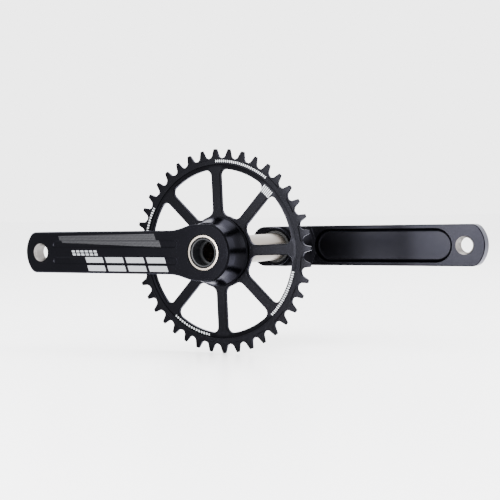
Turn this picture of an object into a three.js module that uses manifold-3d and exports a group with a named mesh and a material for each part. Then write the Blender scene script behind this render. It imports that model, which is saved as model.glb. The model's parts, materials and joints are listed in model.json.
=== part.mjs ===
// Bicycle crankset with one chainring: drive-side arm, hollow spindle, toothed ring, clamped left arm.
// Millimetres. Origin on the spindle's axis at the bicycle's centre plane. +X points forward along
// the left arm, +Y points to the bicycle's left (the drive side is -Y), +Z points up.
import * as THREE from 'three';
import { mergeVertices } from 'three/addons/utils/BufferGeometryUtils.js';
import Module from 'manifold-3d';

// Overall sizes
const armLength = 170;           // spindle axis to pedal axis
const halfStance = 79;           // centre plane to the outer face of each arm
const armWidth = 36;
const armThickness = 13;         // at the pedal end
const chainLine = 52;            // centre plane to the middle of the chainring
const bearingSpan = 87;          // between the two faces that the bottom bracket fits between
const spindleDiameter = 24;
const toothCount = 40;
const gap = 0.3;                 // left between two pieces that touch

// Pedal end of both arms
const endReach = 17.5;           // pedal axis to the tip of the arm
const endRadius = 24;
const endCornerRadius = 8;
const pedalHoleRadius = 7.15;
const pedalChamfer = 0.9;
const edgeChamfer = 1.2;         // round the outer face

// Recess in the inner face of both arms
const pocketWidth = 26;
const pocketDepth = 5;
const pocketDraft = 1.6;         // how far the walls lean in over the depth
const pocketEndInset = 13;       // pedal axis to the pocket's outer end

// Drive arm
const driveRootThickness = 17;   // arm thickness beside the boss
const bossWall = 8.95;           // spindle head to the boss's outside
const drivePocketStart = 68;     // spindle axis to the pocket's inner end
const flareLength = 26;          // over which the arm widens to the boss
const flareStart = 8;            // spindle axis to the widest point of the flare
const flangeMargin = 7.1;        // ring bolts' axes to the flange's rim
const flangeEdge = 1.7;          // thickness of the flange at its rim
const flangeChamfer = 1;
const skirtTop = 7;              // outer face to where the boss starts to widen
const shoulderWall = 4.2;        // wall of the ring that the drive side bearing runs against

// Spindle
const headStep = 2.25;           // how far the head stands out past the spindle
const headLength = 16.2;
const headWall = 2.4;
const headBoreDepth = 14;
const headSetback = 0.3;         // head face below the arm's face
const headChamfer = 0.4;
const spindleWall = 2.5;
const spindleEndInset = 4.5;     // left arm's outer face to the end of the spindle
const splineLength = 27;
const splineCount = 24;
const splineDepth = 0.8;
const keyInset = 8;              // start of the splines to the start of the key slot
const keyWidth = 2.8;
const keyDepth = 1.6;

// Liner in the spindle head
const linerSetback = 0.6;        // liner's mouth below the head face
const linerWall = 1;
const linerLip = 1.95;           // width of the lip at the liner's inner end

// Chainring
const chainPitch = 12.7;
const rollerRadius = 3.9;
const toothHeight = 3.57;        // pitch circle to the tooth tips
const toothTipWidth = 3.1;
const tipRound = 0.6;
const ringThickness = 4;
const wideTooth = 3.2;           // thickness of the toothed rim and of every other tooth
const narrowTooth = 2;           // thickness of the teeth between them
const narrowFrom = 75.8;         // radius where a narrow tooth's faces step in
const seatHalfAngle = 78;        // degrees of arc on either side of a roller seat's lowest point
const bevelInner = 69.2;         // radius where the ring starts to thin towards the teeth
const bevelOuter = 72.8;
const ringClocking = 1.6;        // degrees from the arm's line to the nearest spoke
const spokeCount = 8;
const spokeWidth = 8.7;
const windowInset = 1.7;         // flange's rim to the windows
const windowOuter = 68;
const windowInnerFillet = 6.5;
const windowOuterFillet = 5;

// Chainring bolts
const ringBoltCount = 3;
const ringBoltInset = 0.8;       // shoulder to the bolts' heads
const ringBoltRadius = 2.5;
const ringBoltHeadRadius = 4.2;
const ringBoltHeadHeight = 2.6;
const ringBoltGrip = 7;          // length held in the flange
const ringBoltCrown = 1;         // how far the head narrows towards its top
const ringBoltSocket = 2.2;
const ringBoltSocketDepth = 2;

// Left arm
const noseWall = 5;              // wall of the round nose that the left bearing runs against
const noseHeight = 3.5;
const noseChamfer = 0.6;
const rampFillet = 2;            // height and width of the ramp's foot
const rampInset = 1.7;           // nose to where the boss starts to run out into the arm
const rampLength = 10;
const pocketInset = 2;           // ramp's foot to the pocket
const clampMargin = 7.3;         // pinch bolts' axes to the clamp's end
const clampCorner = 12;
const slitWidth = 2.4;

// Pinch bolts and their washers
const pinchInset = 2.3;          // spindle to the bolts' shanks
const pinchFromFace = [22.5, 9]; // outer face to each bolt's axis
const pinchRadius = 3;
const pinchHeadRadius = 4.9;
const pinchHeadHeight = 6;
const pinchSocket = 2.9;
const pinchSocketDepth = 3.5;
const pinchSeat = 9;             // centre plane to the floor of the head's recess
const pinchTip = 14.3;           // centre plane to the far end of the bolt
const washerThickness = 1.2;

// Safety plate
const plateThickness = 1.4;
const plateRadius = 5;
const hookHeight = 3.4;          // how far the hook reaches towards the centre plane
const hookLength = 1.8;

// Preload cap and O-ring
const capStep = 1.4;             // how far the cap's rim stands out past the spindle
const capFlange = 2.4;
const capPlugLength = 10;
const capWall = 2;
const capChamfer = 0.5;
const capClearance = 0.5;        // between the cap's rim and the arm
const capRecessDepth = 7;
const capLobeCount = 8;
const capLobeRadius = 1.1;
const oRingInset = 1.1;          // spindle's bore to the middle of the O-ring
const oRingThickness = 0.8;

// Bearing seals
const driveSealWidth = 2;
const leftSealWidth = 2.2;
const sealHeight = 1.2;
const sealSetback = 0.2;         // seal's face below the face of the shoulder or nose

const fineSteps = 54;
const roundSteps = 36;
const smallSteps = 18;

// Sizes that follow from the ones above
const halfWidth = armWidth / 2;
const spindleRadius = spindleDiameter / 2;
const armBore = spindleRadius + gap;
const spindleBoreRadius = spindleRadius - spindleWall;
const headRadius = spindleRadius + headStep;
const headBoreRadius = headRadius - headWall;
const bossRadius = headRadius + bossWall;
const shoulderRadius = armBore + shoulderWall;
const ringBoltCircle = shoulderRadius + ringBoltHeadRadius + ringBoltInset;
const flangeRadius = ringBoltCircle + flangeMargin;
const windowInner = flangeRadius + windowInset;
const noseRadius = armBore + noseWall;
const rampStart = noseRadius + rampInset;
const rampEnd = rampStart + rampLength;
const pocketStart = rampEnd + pocketInset;
const pinchOffset = spindleRadius + pinchRadius + pinchInset;
const clampReach = pinchOffset + clampMargin;
const halfSpan = bearingSpan / 2;
const sealFloor = halfSpan + sealSetback + sealHeight + gap;
const ringFront = chainLine + ringThickness / 2;
const ringBack = chainLine - ringThickness / 2;
const flangeBack = ringFront + gap;
const flangeFront = flangeBack + flangeEdge;
const pitchRadius = chainPitch / (2 * Math.sin(Math.PI / toothCount));
const tipRadius = pitchRadius + toothHeight;
const spindleEnd = halfStance - spindleEndInset;
const splineStart = spindleEnd - splineLength;
const headFace = halfStance - headSetback;
const capSeat = spindleEnd + oRingThickness + gap;
const capRadius = spindleRadius + capStep;
const pinchPlaces = pinchFromFace.map((inset) => halfStance - inset);

const wasm = await Module();
wasm.setup();

function rad(degrees) {
  return degrees * Math.PI / 180;
}

// A closed three.js geometry as a solid for joining and cutting.
function solidOf(geometry) {
  const bare = geometry.index ? geometry.toNonIndexed() : geometry.clone();
  bare.deleteAttribute('normal');
  bare.deleteAttribute('uv');
  const welded = mergeVertices(bare, 1e-4);
  const corners = welded.index.array;
  const triangles = [];
  for (let i = 0; i < corners.length; i += 3) {
    const [a, b, c] = corners.slice(i, i + 3);
    if (a !== b && b !== c && c !== a) {
      triangles.push(a, b, c);
    }
  }
  return new wasm.Manifold(new wasm.Mesh({
    numProp: 3,
    vertProperties: new Float32Array(welded.attributes.position.array),
    triVerts: new Uint32Array(triangles),
  }));
}

function nodeOf(name, solid, material) {
  const { vertProperties, triVerts } = solid.getMesh();
  const geometry = new THREE.BufferGeometry();
  geometry.setAttribute('position', new THREE.BufferAttribute(vertProperties, 3));
  geometry.setIndex(new THREE.BufferAttribute(triVerts, 1));
  geometry.computeVertexNormals();
  const mesh = new THREE.Mesh(geometry, material);
  mesh.name = name;
  return mesh;
}

// Points of an arc in a plane, counter-clockwise when end is above start.
function arc(x, y, radius, start, end, steps) {
  const points = [];
  for (let i = 0; i <= steps; i += 1) {
    const angle = start + (end - start) * i / steps;
    points.push(new THREE.Vector2(x + radius * Math.cos(angle), y + radius * Math.sin(angle)));
  }
  return points;
}

function point(x, y) {
  return new THREE.Vector2(x, y);
}

// A profile of [radius, y] pairs turned about the spindle's axis. It runs counter-clockwise in the
// radius-y plane; an open one starts and ends on the axis.
function turned(profile, steps = roundSteps) {
  const points = profile.map(([radius, y]) => point(radius, y));
  const onAxis = profile[0][0] === 0 && profile[profile.length - 1][0] === 0;
  if (!onAxis) {
    points.push(points[0].clone());
  }
  return solidOf(new THREE.LatheGeometry(points, steps));
}

// A flat outline in the X-Z plane, thick from yLow to yHigh, with an optional chamfer at both faces.
function plate(outline, yLow, yHigh, chamfer = 0) {
  const geometry = new THREE.ExtrudeGeometry(new THREE.Shape(outline), {
    depth: yHigh - yLow - 2 * chamfer,
    bevelEnabled: chamfer > 0,
    bevelThickness: chamfer,
    bevelSize: chamfer,
    bevelOffset: -chamfer,
    bevelSegments: 1,
  });
  geometry.rotateX(Math.PI / 2);
  geometry.translate(0, yHigh - chamfer, 0);
  return solidOf(geometry);
}

// A flat outline in the X-Y plane, thick from -halfDepth to halfDepth along Z.
function sidePlate(outline, halfDepth) {
  const geometry = new THREE.ExtrudeGeometry(new THREE.Shape(outline), {
    depth: 2 * halfDepth,
    bevelEnabled: false,
  });
  geometry.translate(0, 0, -halfDepth);
  return solidOf(geometry);
}

function rodY(radius, x, z, yLow, yHigh, steps = smallSteps, topRadius = radius) {
  const geometry = new THREE.CylinderGeometry(topRadius, radius, yHigh - yLow, steps);
  geometry.translate(x, (yLow + yHigh) / 2, z);
  return solidOf(geometry);
}

function rodZ(radius, x, y, zLow, zHigh, steps = smallSteps) {
  const geometry = new THREE.CylinderGeometry(radius, radius, zHigh - zLow, steps);
  geometry.rotateX(Math.PI / 2);
  geometry.translate(x, y, (zLow + zHigh) / 2);
  return solidOf(geometry);
}

function block(low, high) {
  const size = high.map((value, i) => value - low[i]);
  const geometry = new THREE.BoxGeometry(...size);
  geometry.translate(...low.map((value, i) => value + size[i] / 2));
  return solidOf(geometry);
}

// The arms are made pointing along +X with their outer face at +Y; the drive arm is then turned.

// Round stretch of an arm's outline about the pedal, from the lower side to the upper one.
function pedalEnd() {
  const centreX = armLength + endReach - endRadius;
  const cornerZ = halfWidth - endCornerRadius;
  const cornerX = centreX + Math.sqrt((endRadius - endCornerRadius) ** 2 - cornerZ ** 2);
  const meet = Math.atan2(cornerZ, cornerX - centreX);
  return [
    ...arc(cornerX, -cornerZ, endCornerRadius, -Math.PI / 2, -meet, 6),
    ...arc(centreX, 0, endRadius, -meet, meet, 10).slice(1, -1),
    ...arc(cornerX, cornerZ, endCornerRadius, meet, Math.PI / 2, 6),
  ];
}

function pedalHole() {
  const inner = halfStance - armThickness;
  const mouth = pedalHoleRadius + pedalChamfer;
  const bore = rodY(pedalHoleRadius, armLength, 0, inner - 1, halfStance + 1, 32);
  const outer = halfStance - pedalChamfer;
  const outerMouth = rodY(pedalHoleRadius, armLength, 0, outer, halfStance, 32, mouth);
  const innerMouth = rodY(mouth, armLength, 0, inner, inner + pedalChamfer, 32, pedalHoleRadius);
  return bore.add(outerMouth).add(innerMouth);
}

// Recess with round ends and leaning walls, open towards the inner face.
function pocket(startX, floorY, mouthY) {
  const radius = pocketWidth / 2;
  const ends = [startX + radius, armLength - pocketEndInset - radius];
  const outline = [
    ...arc(ends[1], 0, radius, -Math.PI / 2, Math.PI / 2, 14),
    ...arc(ends[0], 0, radius, Math.PI / 2, 3 * Math.PI / 2, 14),
  ];
  const depth = floorY - mouthY;
  const geometry = new THREE.ExtrudeGeometry(new THREE.Shape(outline), {
    depth: 0.01,
    bevelEnabled: true,
    bevelThickness: depth,
    bevelSize: pocketDraft * depth / pocketDepth,
    bevelOffset: -pocketDraft * depth / pocketDepth,
    bevelSegments: 1,
  });
  geometry.rotateX(Math.PI / 2);
  geometry.translate(0, mouthY, 0);
  return solidOf(geometry);
}

function driveArmOutline() {
  const angle = Math.acos(flareStart / bossRadius);
  const top = point(flareStart, bossRadius * Math.sin(angle));
  const side = point(flareStart + flareLength, halfWidth);
  const tangent = point(top.y, -top.x).normalize();
  const upper = new THREE.CubicBezierCurve(
    side,
    point(side.x - flareLength * 0.45, halfWidth),
    point(top.x + tangent.x * flareLength * 0.3, top.y + tangent.y * flareLength * 0.3),
    top,
  ).getPoints(8);
  const lower = upper.map((p) => point(p.x, -p.y)).reverse();
  return [
    ...pedalEnd(),
    ...upper.slice(0, -1),
    ...arc(0, 0, bossRadius, angle, 2 * Math.PI - angle, 32),
    ...lower.slice(1),
  ];
}

function ringBoltPlaces() {
  const places = [];
  for (let i = 0; i < ringBoltCount; i += 1) {
    const angle = Math.PI / 2 + i * 2 * Math.PI / ringBoltCount;
    places.push([ringBoltCircle * Math.cos(angle), ringBoltCircle * Math.sin(angle)]);
  }
  return places;
}

// Boss skirt, flange and bearing shoulder as one turned shape.
function driveHub() {
  const skirtStart = halfStance - skirtTop;
  const skirtEnd = flangeFront + flangeChamfer;
  const rise = flangeRadius - flangeChamfer - bossRadius;
  const skirt = [];
  const skirtSteps = 6;
  for (let i = 0; i <= skirtSteps; i += 1) {
    const t = i / skirtSteps;
    skirt.push([bossRadius + rise * t * t, skirtStart + (skirtEnd - skirtStart) * t]);
  }
  const sealSeat = armBore + driveSealWidth + gap;
  return turned([
    [armBore, sealFloor],
    [sealSeat, sealFloor],
    [sealSeat, halfSpan],
    [shoulderRadius, halfSpan],
    [shoulderRadius, flangeBack],
    [flangeRadius, flangeBack],
    [flangeRadius, flangeFront],
    ...skirt.reverse(),
    [bossRadius, halfStance - edgeChamfer],
    [armBore, halfStance - edgeChamfer],
  ], fineSteps);
}

function driveArm() {
  const inner = halfStance - armThickness;
  const root = halfStance - driveRootThickness;
  const rootX = flareStart + flareLength;
  const reach = armLength + endReach;
  const body = plate(driveArmOutline(), root - 2 * edgeChamfer, halfStance, edgeChamfer);
  const side = sidePlate([
    point(-bossRadius, root),
    point(rootX, root),
    point(armLength - endReach, inner),
    point(reach + 1, inner),
    point(reach + 1, halfStance + 1),
    point(-bossRadius - 1, halfStance + 1),
    point(-bossRadius - 1, root),
  ], bossRadius + 1);
  const headBore = headRadius + gap;
  const headEnd = headFace - headLength - gap;
  const bore = turned([
    [0, halfSpan - 1],
    [armBore, halfSpan - 1],
    [armBore, headEnd - (headBore - armBore)],
    [headBore, headEnd],
    [headBore, halfStance + 1],
    [0, halfStance + 1],
  ]);
  let arm = body.intersect(side).add(driveHub());
  arm = arm.subtract(bore).subtract(pedalHole());
  arm = arm.subtract(pocket(drivePocketStart, inner + pocketDepth, root - 1));
  for (const [x, z] of ringBoltPlaces()) {
    arm = arm.subtract(rodY(ringBoltRadius + gap, x, z, flangeBack - 1, flangeBack + ringBoltGrip));
  }
  return arm;
}

// Splined round outline, with one wide gap cut by the key at -X.
function splineOutline(tip, root, sideGap) {
  const points = [];
  const pitch = 2 * Math.PI / splineCount;
  const half = pitch / 4 + sideGap / tip;
  for (let i = 0; i < splineCount; i += 1) {
    const centre = i * pitch;
    points.push(...arc(0, 0, tip, centre - half * 0.8, centre + half * 0.8, 1));
    points.push(...arc(0, 0, root, centre + half * 1.2, centre + pitch - half * 1.2, 1));
  }
  return points;
}

function spindle() {
  const shank = headFace - headLength;
  const body = turned([
    [spindleBoreRadius, -headFace + headBoreDepth + headBoreRadius - spindleBoreRadius],
    [headBoreRadius, -headFace + headBoreDepth],
    [headBoreRadius, -headFace],
    [headRadius - headChamfer, -headFace],
    [headRadius, -headFace + headChamfer],
    [headRadius, -shank],
    [spindleRadius, -shank + headRadius - spindleRadius],
    [spindleRadius, splineStart],
    [spindleRadius - splineDepth, splineStart + splineDepth],
    [spindleRadius - splineDepth, spindleEnd],
    [spindleBoreRadius, spindleEnd],
  ]);
  const outline = splineOutline(spindleRadius, spindleRadius - splineDepth, 0);
  const splines = plate(outline, splineStart + splineDepth, spindleEnd - splineDepth);
  const hollow = rodY(spindleBoreRadius, 0, 0, splineStart, spindleEnd + 1, roundSteps);
  const key = block(
    [-spindleRadius - 1, splineStart + keyInset, -keyWidth / 2],
    [-spindleRadius + keyDepth, spindleEnd + 1, keyWidth / 2],
  );
  return body.add(splines.subtract(hollow)).subtract(key);
}

function boreLiner() {
  const outer = headBoreRadius - gap;
  const inner = outer - linerWall;
  const hole = inner - linerLip;
  const front = -headFace + linerSetback;
  const back = -headFace + headBoreDepth - gap;
  return turned([
    [inner, front],
    [outer, front],
    [outer, back],
    [hole, back],
    [hole, back - linerWall],
    [inner, back - linerWall],
  ]);
}

// Sprocket outline: round seats for the rollers with tapering teeth between them.
function toothOutline() {
  const pitch = 2 * Math.PI / toothCount;
  const tipHalf = toothTipWidth / 2;
  const corners = [
    [-tipHalf, tipRound],
    [-tipHalf + tipRound, 0],
    [tipHalf - tipRound, 0],
    [tipHalf, tipRound],
  ];
  const points = [];
  for (let i = 0; i < toothCount; i += 1) {
    const angle = rad(ringClocking) + i * pitch;
    for (const [offset, drop] of corners) {
      points.push(point(
        (tipRadius - drop) * Math.cos(angle) - offset * Math.sin(angle),
        (tipRadius - drop) * Math.sin(angle) + offset * Math.cos(angle),
      ));
    }
    const seat = angle + pitch / 2;
    points.push(...arc(
      pitchRadius * Math.cos(seat),
      pitchRadius * Math.sin(seat),
      rollerRadius,
      seat + Math.PI + rad(seatHalfAngle),
      seat + Math.PI - rad(seatHalfAngle),
      8,
    ));
  }
  return points;
}

// Sector over one tooth, from the step outwards, that thins the tooth over its height.
function toothSector(angle) {
  const half = Math.PI / toothCount;
  const outline = arc(0, 0, narrowFrom, angle - half, angle + half, 3);
  outline.push(...arc(0, 0, tipRadius + 2, angle + half, angle - half, 3));
  return outline;
}

// One opening between two spokes, whose first spoke lies at the given angle.
function windowOutline(first) {
  const next = first + 2 * Math.PI / spokeCount;
  const innerCentre = windowInner + windowInnerFillet;
  const outerCentre = windowOuter - windowOuterFillet;
  const innerTurn = Math.asin((spokeWidth / 2 + windowInnerFillet) / innerCentre);
  const outerTurn = Math.asin((spokeWidth / 2 + windowOuterFillet) / outerCentre);
  const fillet = (distance, angle, radius, start, end) => arc(
    distance * Math.cos(angle),
    distance * Math.sin(angle),
    radius,
    start,
    end,
    5,
  );
  const half = Math.PI / 2;
  const outerEnds = [first + outerTurn, next - outerTurn];
  const innerEnds = [first + innerTurn, next - innerTurn];
  return [
    ...arc(0, 0, windowOuter, ...outerEnds, 7),
    ...fillet(outerCentre, outerEnds[1], windowOuterFillet, outerEnds[1], next + half).slice(1),
    ...fillet(innerCentre, innerEnds[1], windowInnerFillet, next + half, innerEnds[1] + 2 * half),
    ...arc(0, 0, windowInner, innerEnds[1], innerEnds[0], 2).slice(1, -1),
    ...fillet(innerCentre, innerEnds[0], windowInnerFillet, innerEnds[0] + 2 * half, first + 3 * half),
    ...fillet(outerCentre, outerEnds[0], windowOuterFillet, first - half, outerEnds[0]).slice(0, -1),
  ];
}

function chainring() {
  const holeRadius = shoulderRadius + gap;
  const rimFront = -chainLine - wideTooth / 2;
  const rimBack = -chainLine + wideTooth / 2;
  const teeth = plate(toothOutline(), rimFront, rimBack);
  const disc = turned([
    [0, -ringFront],
    [bevelInner, -ringFront],
    [bevelOuter, rimFront],
    [bevelOuter, rimBack],
    [bevelInner, -ringBack],
    [0, -ringBack],
  ], fineSteps);
  const hole = rodY(holeRadius, 0, 0, -ringFront - 1, -ringBack + 1, roundSteps);
  let ring = teeth.add(disc).subtract(hole);
  for (let i = 1; i < toothCount; i += 2) {
    const sector = toothSector(rad(ringClocking) + i * 2 * Math.PI / toothCount);
    ring = ring.subtract(plate(sector, rimFront - 1, -chainLine - narrowTooth / 2));
    ring = ring.subtract(plate(sector, -chainLine + narrowTooth / 2, rimBack + 1));
  }
  for (let i = 0; i < spokeCount; i += 1) {
    const first = rad(ringClocking) + i * 2 * Math.PI / spokeCount;
    ring = ring.subtract(plate(windowOutline(first), -ringFront - 1, -ringBack + 1));
  }
  for (const [x, z] of ringBoltPlaces()) {
    ring = ring.subtract(rodY(ringBoltRadius + gap, x, z, -ringFront - 1, -ringBack + 1));
  }
  return ring;
}

function starOutline(x, y, inner, outer, count) {
  const points = [];
  for (let i = 0; i < 2 * count; i += 1) {
    const radius = i % 2 ? inner : outer;
    const angle = i * Math.PI / count;
    points.push(point(x + radius * Math.cos(angle), y + radius * Math.sin(angle)));
  }
  return points;
}

function ringBolt(x, z) {
  const seat = -ringBack + gap;
  const tip = -flangeBack - ringBoltGrip + gap;
  const top = seat + ringBoltHeadHeight;
  const edge = top - ringBoltCrown;
  const head = rodY(ringBoltHeadRadius, x, z, seat, edge);
  const crown = rodY(ringBoltHeadRadius, x, z, edge, top, smallSteps, ringBoltHeadRadius - ringBoltCrown);
  const shank = rodY(ringBoltRadius, x, z, tip, seat + 0.1);
  const star = starOutline(x, z, ringBoltSocket * 0.72, ringBoltSocket, 6);
  const socket = plate(star, top - ringBoltSocketDepth, top + 1);
  return head.add(crown).add(shank).subtract(socket);
}

// Flat ring in the recess round the spindle, on the side of the centre plane that is given.
function seal(width, side) {
  const near = side * (halfSpan + sealSetback);
  const far = side * (sealFloor - gap);
  const low = Math.min(near, far);
  const high = Math.max(near, far);
  return turned([
    [armBore, low],
    [armBore + width, low],
    [armBore + width, high],
    [armBore, high],
  ]);
}

// Rounded outline of the left arm, with the clamp's end at -X.
function leftArmOutline() {
  const cornerX = clampCorner - clampReach;
  const cornerZ = halfWidth - clampCorner;
  return [
    ...pedalEnd(),
    ...arc(cornerX, cornerZ, clampCorner, Math.PI / 2, Math.PI, 8),
    ...arc(cornerX, -cornerZ, clampCorner, Math.PI, 3 * Math.PI / 2, 8),
  ];
}

function leftArm() {
  const inner = halfStance - armThickness;
  const bossFace = halfSpan + noseHeight;
  const reach = armLength + endReach + 1;
  const body = plate(leftArmOutline(), halfSpan - 2 * edgeChamfer, halfStance, edgeChamfer);
  const shape = turned([
    [0, halfSpan],
    [noseRadius - noseChamfer, halfSpan],
    [noseRadius, halfSpan + noseChamfer],
    [noseRadius, bossFace],
    [rampStart, bossFace],
    [rampEnd - rampFillet, inner - rampFillet],
    [rampEnd, inner],
    [reach, inner],
    [reach, halfStance + 1],
    [0, halfStance + 1],
  ], fineSteps);
  const clamp = block([-clampReach - 1, bossFace, -halfWidth - 1], [0, halfStance + 1, halfWidth + 1]);
  const bore = plate(
    splineOutline(spindleRadius + gap, spindleRadius - splineDepth + gap, gap),
    splineStart - gap,
    halfStance,
  );
  const entry = rodY(armBore, 0, 0, halfSpan - 1, splineStart + splineDepth, roundSteps);
  const sealSeat = rodY(armBore + leftSealWidth + gap, 0, 0, halfSpan - 1, sealFloor, roundSteps);
  const capBore = rodY(capRadius + capClearance, 0, 0, capSeat - gap, halfStance + 1, roundSteps);
  const slit = block(
    [-clampReach - 1, halfSpan - 1, -slitWidth / 2],
    [-spindleRadius + 2 * splineDepth, halfStance + 1, slitWidth / 2],
  );
  let arm = body.intersect(shape.add(clamp)).subtract(bore).subtract(entry).subtract(sealSeat);
  arm = arm.subtract(capBore).subtract(slit).subtract(pedalHole());
  arm = arm.subtract(pocket(pocketStart, inner + pocketDepth, inner - 1));
  pinchPlaces.forEach((y, i) => {
    const side = i === 0 ? 1 : -1;
    const far = -side * (pinchTip + gap);
    const near = side * (pinchSeat + 1);
    const hole = rodZ(pinchRadius + gap, -pinchOffset, y, Math.min(far, near), Math.max(far, near));
    const top = side * (halfWidth + 1);
    const floor = side * pinchSeat;
    const recess = rodZ(
      pinchHeadRadius + gap, -pinchOffset, y, Math.min(floor, top), Math.max(floor, top), 28,
    );
    arm = arm.subtract(hole).subtract(recess);
  });
  return arm;
}

function pinchBolt(y, side) {
  const under = pinchSeat + washerThickness + 2 * gap;
  const top = under + pinchHeadHeight;
  const ordered = (a, b) => [Math.min(a * side, b * side), Math.max(a * side, b * side)];
  const head = rodZ(pinchHeadRadius, -pinchOffset, y, ...ordered(under, top));
  const shank = rodZ(pinchRadius, -pinchOffset, y, ...ordered(-pinchTip, under + 0.1));
  const socket = rodZ(pinchSocket, -pinchOffset, y, ...ordered(top - pinchSocketDepth, top + 1), 6);
  return head.add(shank).subtract(socket);
}

function pinchWasher(y, side) {
  const low = pinchSeat + gap;
  const high = low + washerThickness;
  const zLow = Math.min(low * side, high * side);
  const zHigh = Math.max(low * side, high * side);
  const disc = rodZ(pinchHeadRadius, -pinchOffset, y, zLow, zHigh);
  return disc.subtract(rodZ(pinchRadius + gap, -pinchOffset, y, zLow - 1, zHigh + 1));
}

// Plate in the clamp's slit, on the outer pinch bolt, with a hook in the spindle's key slot.
function safetyPlate() {
  const y = pinchPlaces[1];
  const hookX = -spindleRadius + keyDepth - 2 * gap;
  const low = y - plateRadius;
  const outline = [
    ...arc(-pinchOffset, y, plateRadius, rad(30), rad(250), 14),
    point(-pinchOffset + 1, low - gap),
    point(hookX - hookLength, low),
    point(hookX, low + gap),
    point(hookX, low + hookHeight),
    point(hookX - hookLength, low + hookHeight),
  ];
  const hole = rodZ(pinchRadius + gap, -pinchOffset, y, -plateThickness, plateThickness);
  return sidePlate(outline, plateThickness / 2).subtract(hole);
}

function preloadCap() {
  const plug = spindleBoreRadius - gap;
  const top = capSeat + capFlange;
  const body = turned([
    [0, capSeat - capPlugLength],
    [plug, capSeat - capPlugLength],
    [plug, capSeat],
    [capRadius - capChamfer, capSeat],
    [capRadius, capSeat + capChamfer],
    [capRadius, top - capChamfer],
    [capRadius - capChamfer, top],
    [0, top],
  ]);
  const recessRadius = plug - capWall;
  let recess = rodY(recessRadius, 0, 0, top - capRecessDepth, top + 1, 32);
  for (let i = 0; i < capLobeCount; i += 1) {
    const angle = i * 2 * Math.PI / capLobeCount;
    const x = recessRadius * Math.cos(angle);
    const z = recessRadius * Math.sin(angle);
    recess = recess.add(rodY(capLobeRadius, x, z, top - capRecessDepth, top + 1, 10));
  }
  return body.subtract(recess);
}

function capORing() {
  const half = oRingThickness / 2;
  const middle = (spindleEnd + capSeat) / 2;
  const radius = spindleBoreRadius + oRingInset;
  const section = [];
  for (let i = 0; i < 6; i += 1) {
    const angle = i * Math.PI / 3;
    section.push([radius + half * Math.cos(angle), middle + half * 0.9 * Math.sin(angle)]);
  }
  return turned(section, 24);
}

const materials = {
  anodised: new THREE.MeshStandardMaterial({ color: 0x23252b, roughness: 0.42, metalness: 0.6 }),
  spindleSteel: new THREE.MeshStandardMaterial({ color: 0xb8b2ac, roughness: 0.35, metalness: 1 }),
  blackPlastic: new THREE.MeshStandardMaterial({ color: 0x1a1a1c, roughness: 0.5, metalness: 0 }),
  rubber: new THREE.MeshStandardMaterial({ color: 0x151516, roughness: 0.8, metalness: 0 }),
  boltSteel: new THREE.MeshStandardMaterial({ color: 0x3a3b3e, roughness: 0.4, metalness: 1 }),
};

const crankset = new THREE.Group();
const driveSide = new THREE.Group();
driveSide.rotation.z = Math.PI;
driveSide.add(nodeOf('drive_arm', driveArm(), materials.anodised));
crankset.add(driveSide);
crankset.add(nodeOf('spindle', spindle(), materials.spindleSteel));
crankset.add(nodeOf('bore_liner', boreLiner(), materials.blackPlastic));
crankset.add(nodeOf('chainring', chainring(), materials.anodised));
ringBoltPlaces().forEach(([x, z], i) => {
  crankset.add(nodeOf(`chainring_bolt_${i + 1}`, ringBolt(x, z), materials.boltSteel));
});
crankset.add(nodeOf('drive_side_seal', seal(driveSealWidth, -1), materials.rubber));
crankset.add(nodeOf('left_arm', leftArm(), materials.anodised));
crankset.add(nodeOf('left_side_seal', seal(leftSealWidth, 1), materials.rubber));
['upper', 'lower'].forEach((which, i) => {
  const side = i === 0 ? 1 : -1;
  crankset.add(nodeOf(`pinch_bolt_${which}`, pinchBolt(pinchPlaces[i], side), materials.boltSteel));
  crankset.add(nodeOf(`pinch_washer_${which}`, pinchWasher(pinchPlaces[i], side), materials.boltSteel));
});
crankset.add(nodeOf('safety_plate', safetyPlate(), materials.blackPlastic));
crankset.add(nodeOf('preload_cap', preloadCap(), materials.blackPlastic));
crankset.add(nodeOf('cap_o_ring', capORing(), materials.rubber));

export default crankset;
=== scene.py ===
# A bicycle crankset with one chainring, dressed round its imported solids: metres, +X forward along
# the left arm, +Y to the bicycle's left, +Z up, origin on the spindle's axis.
import json
import math

import bmesh
import bpy
from mathutils import Matrix, Vector

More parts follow.
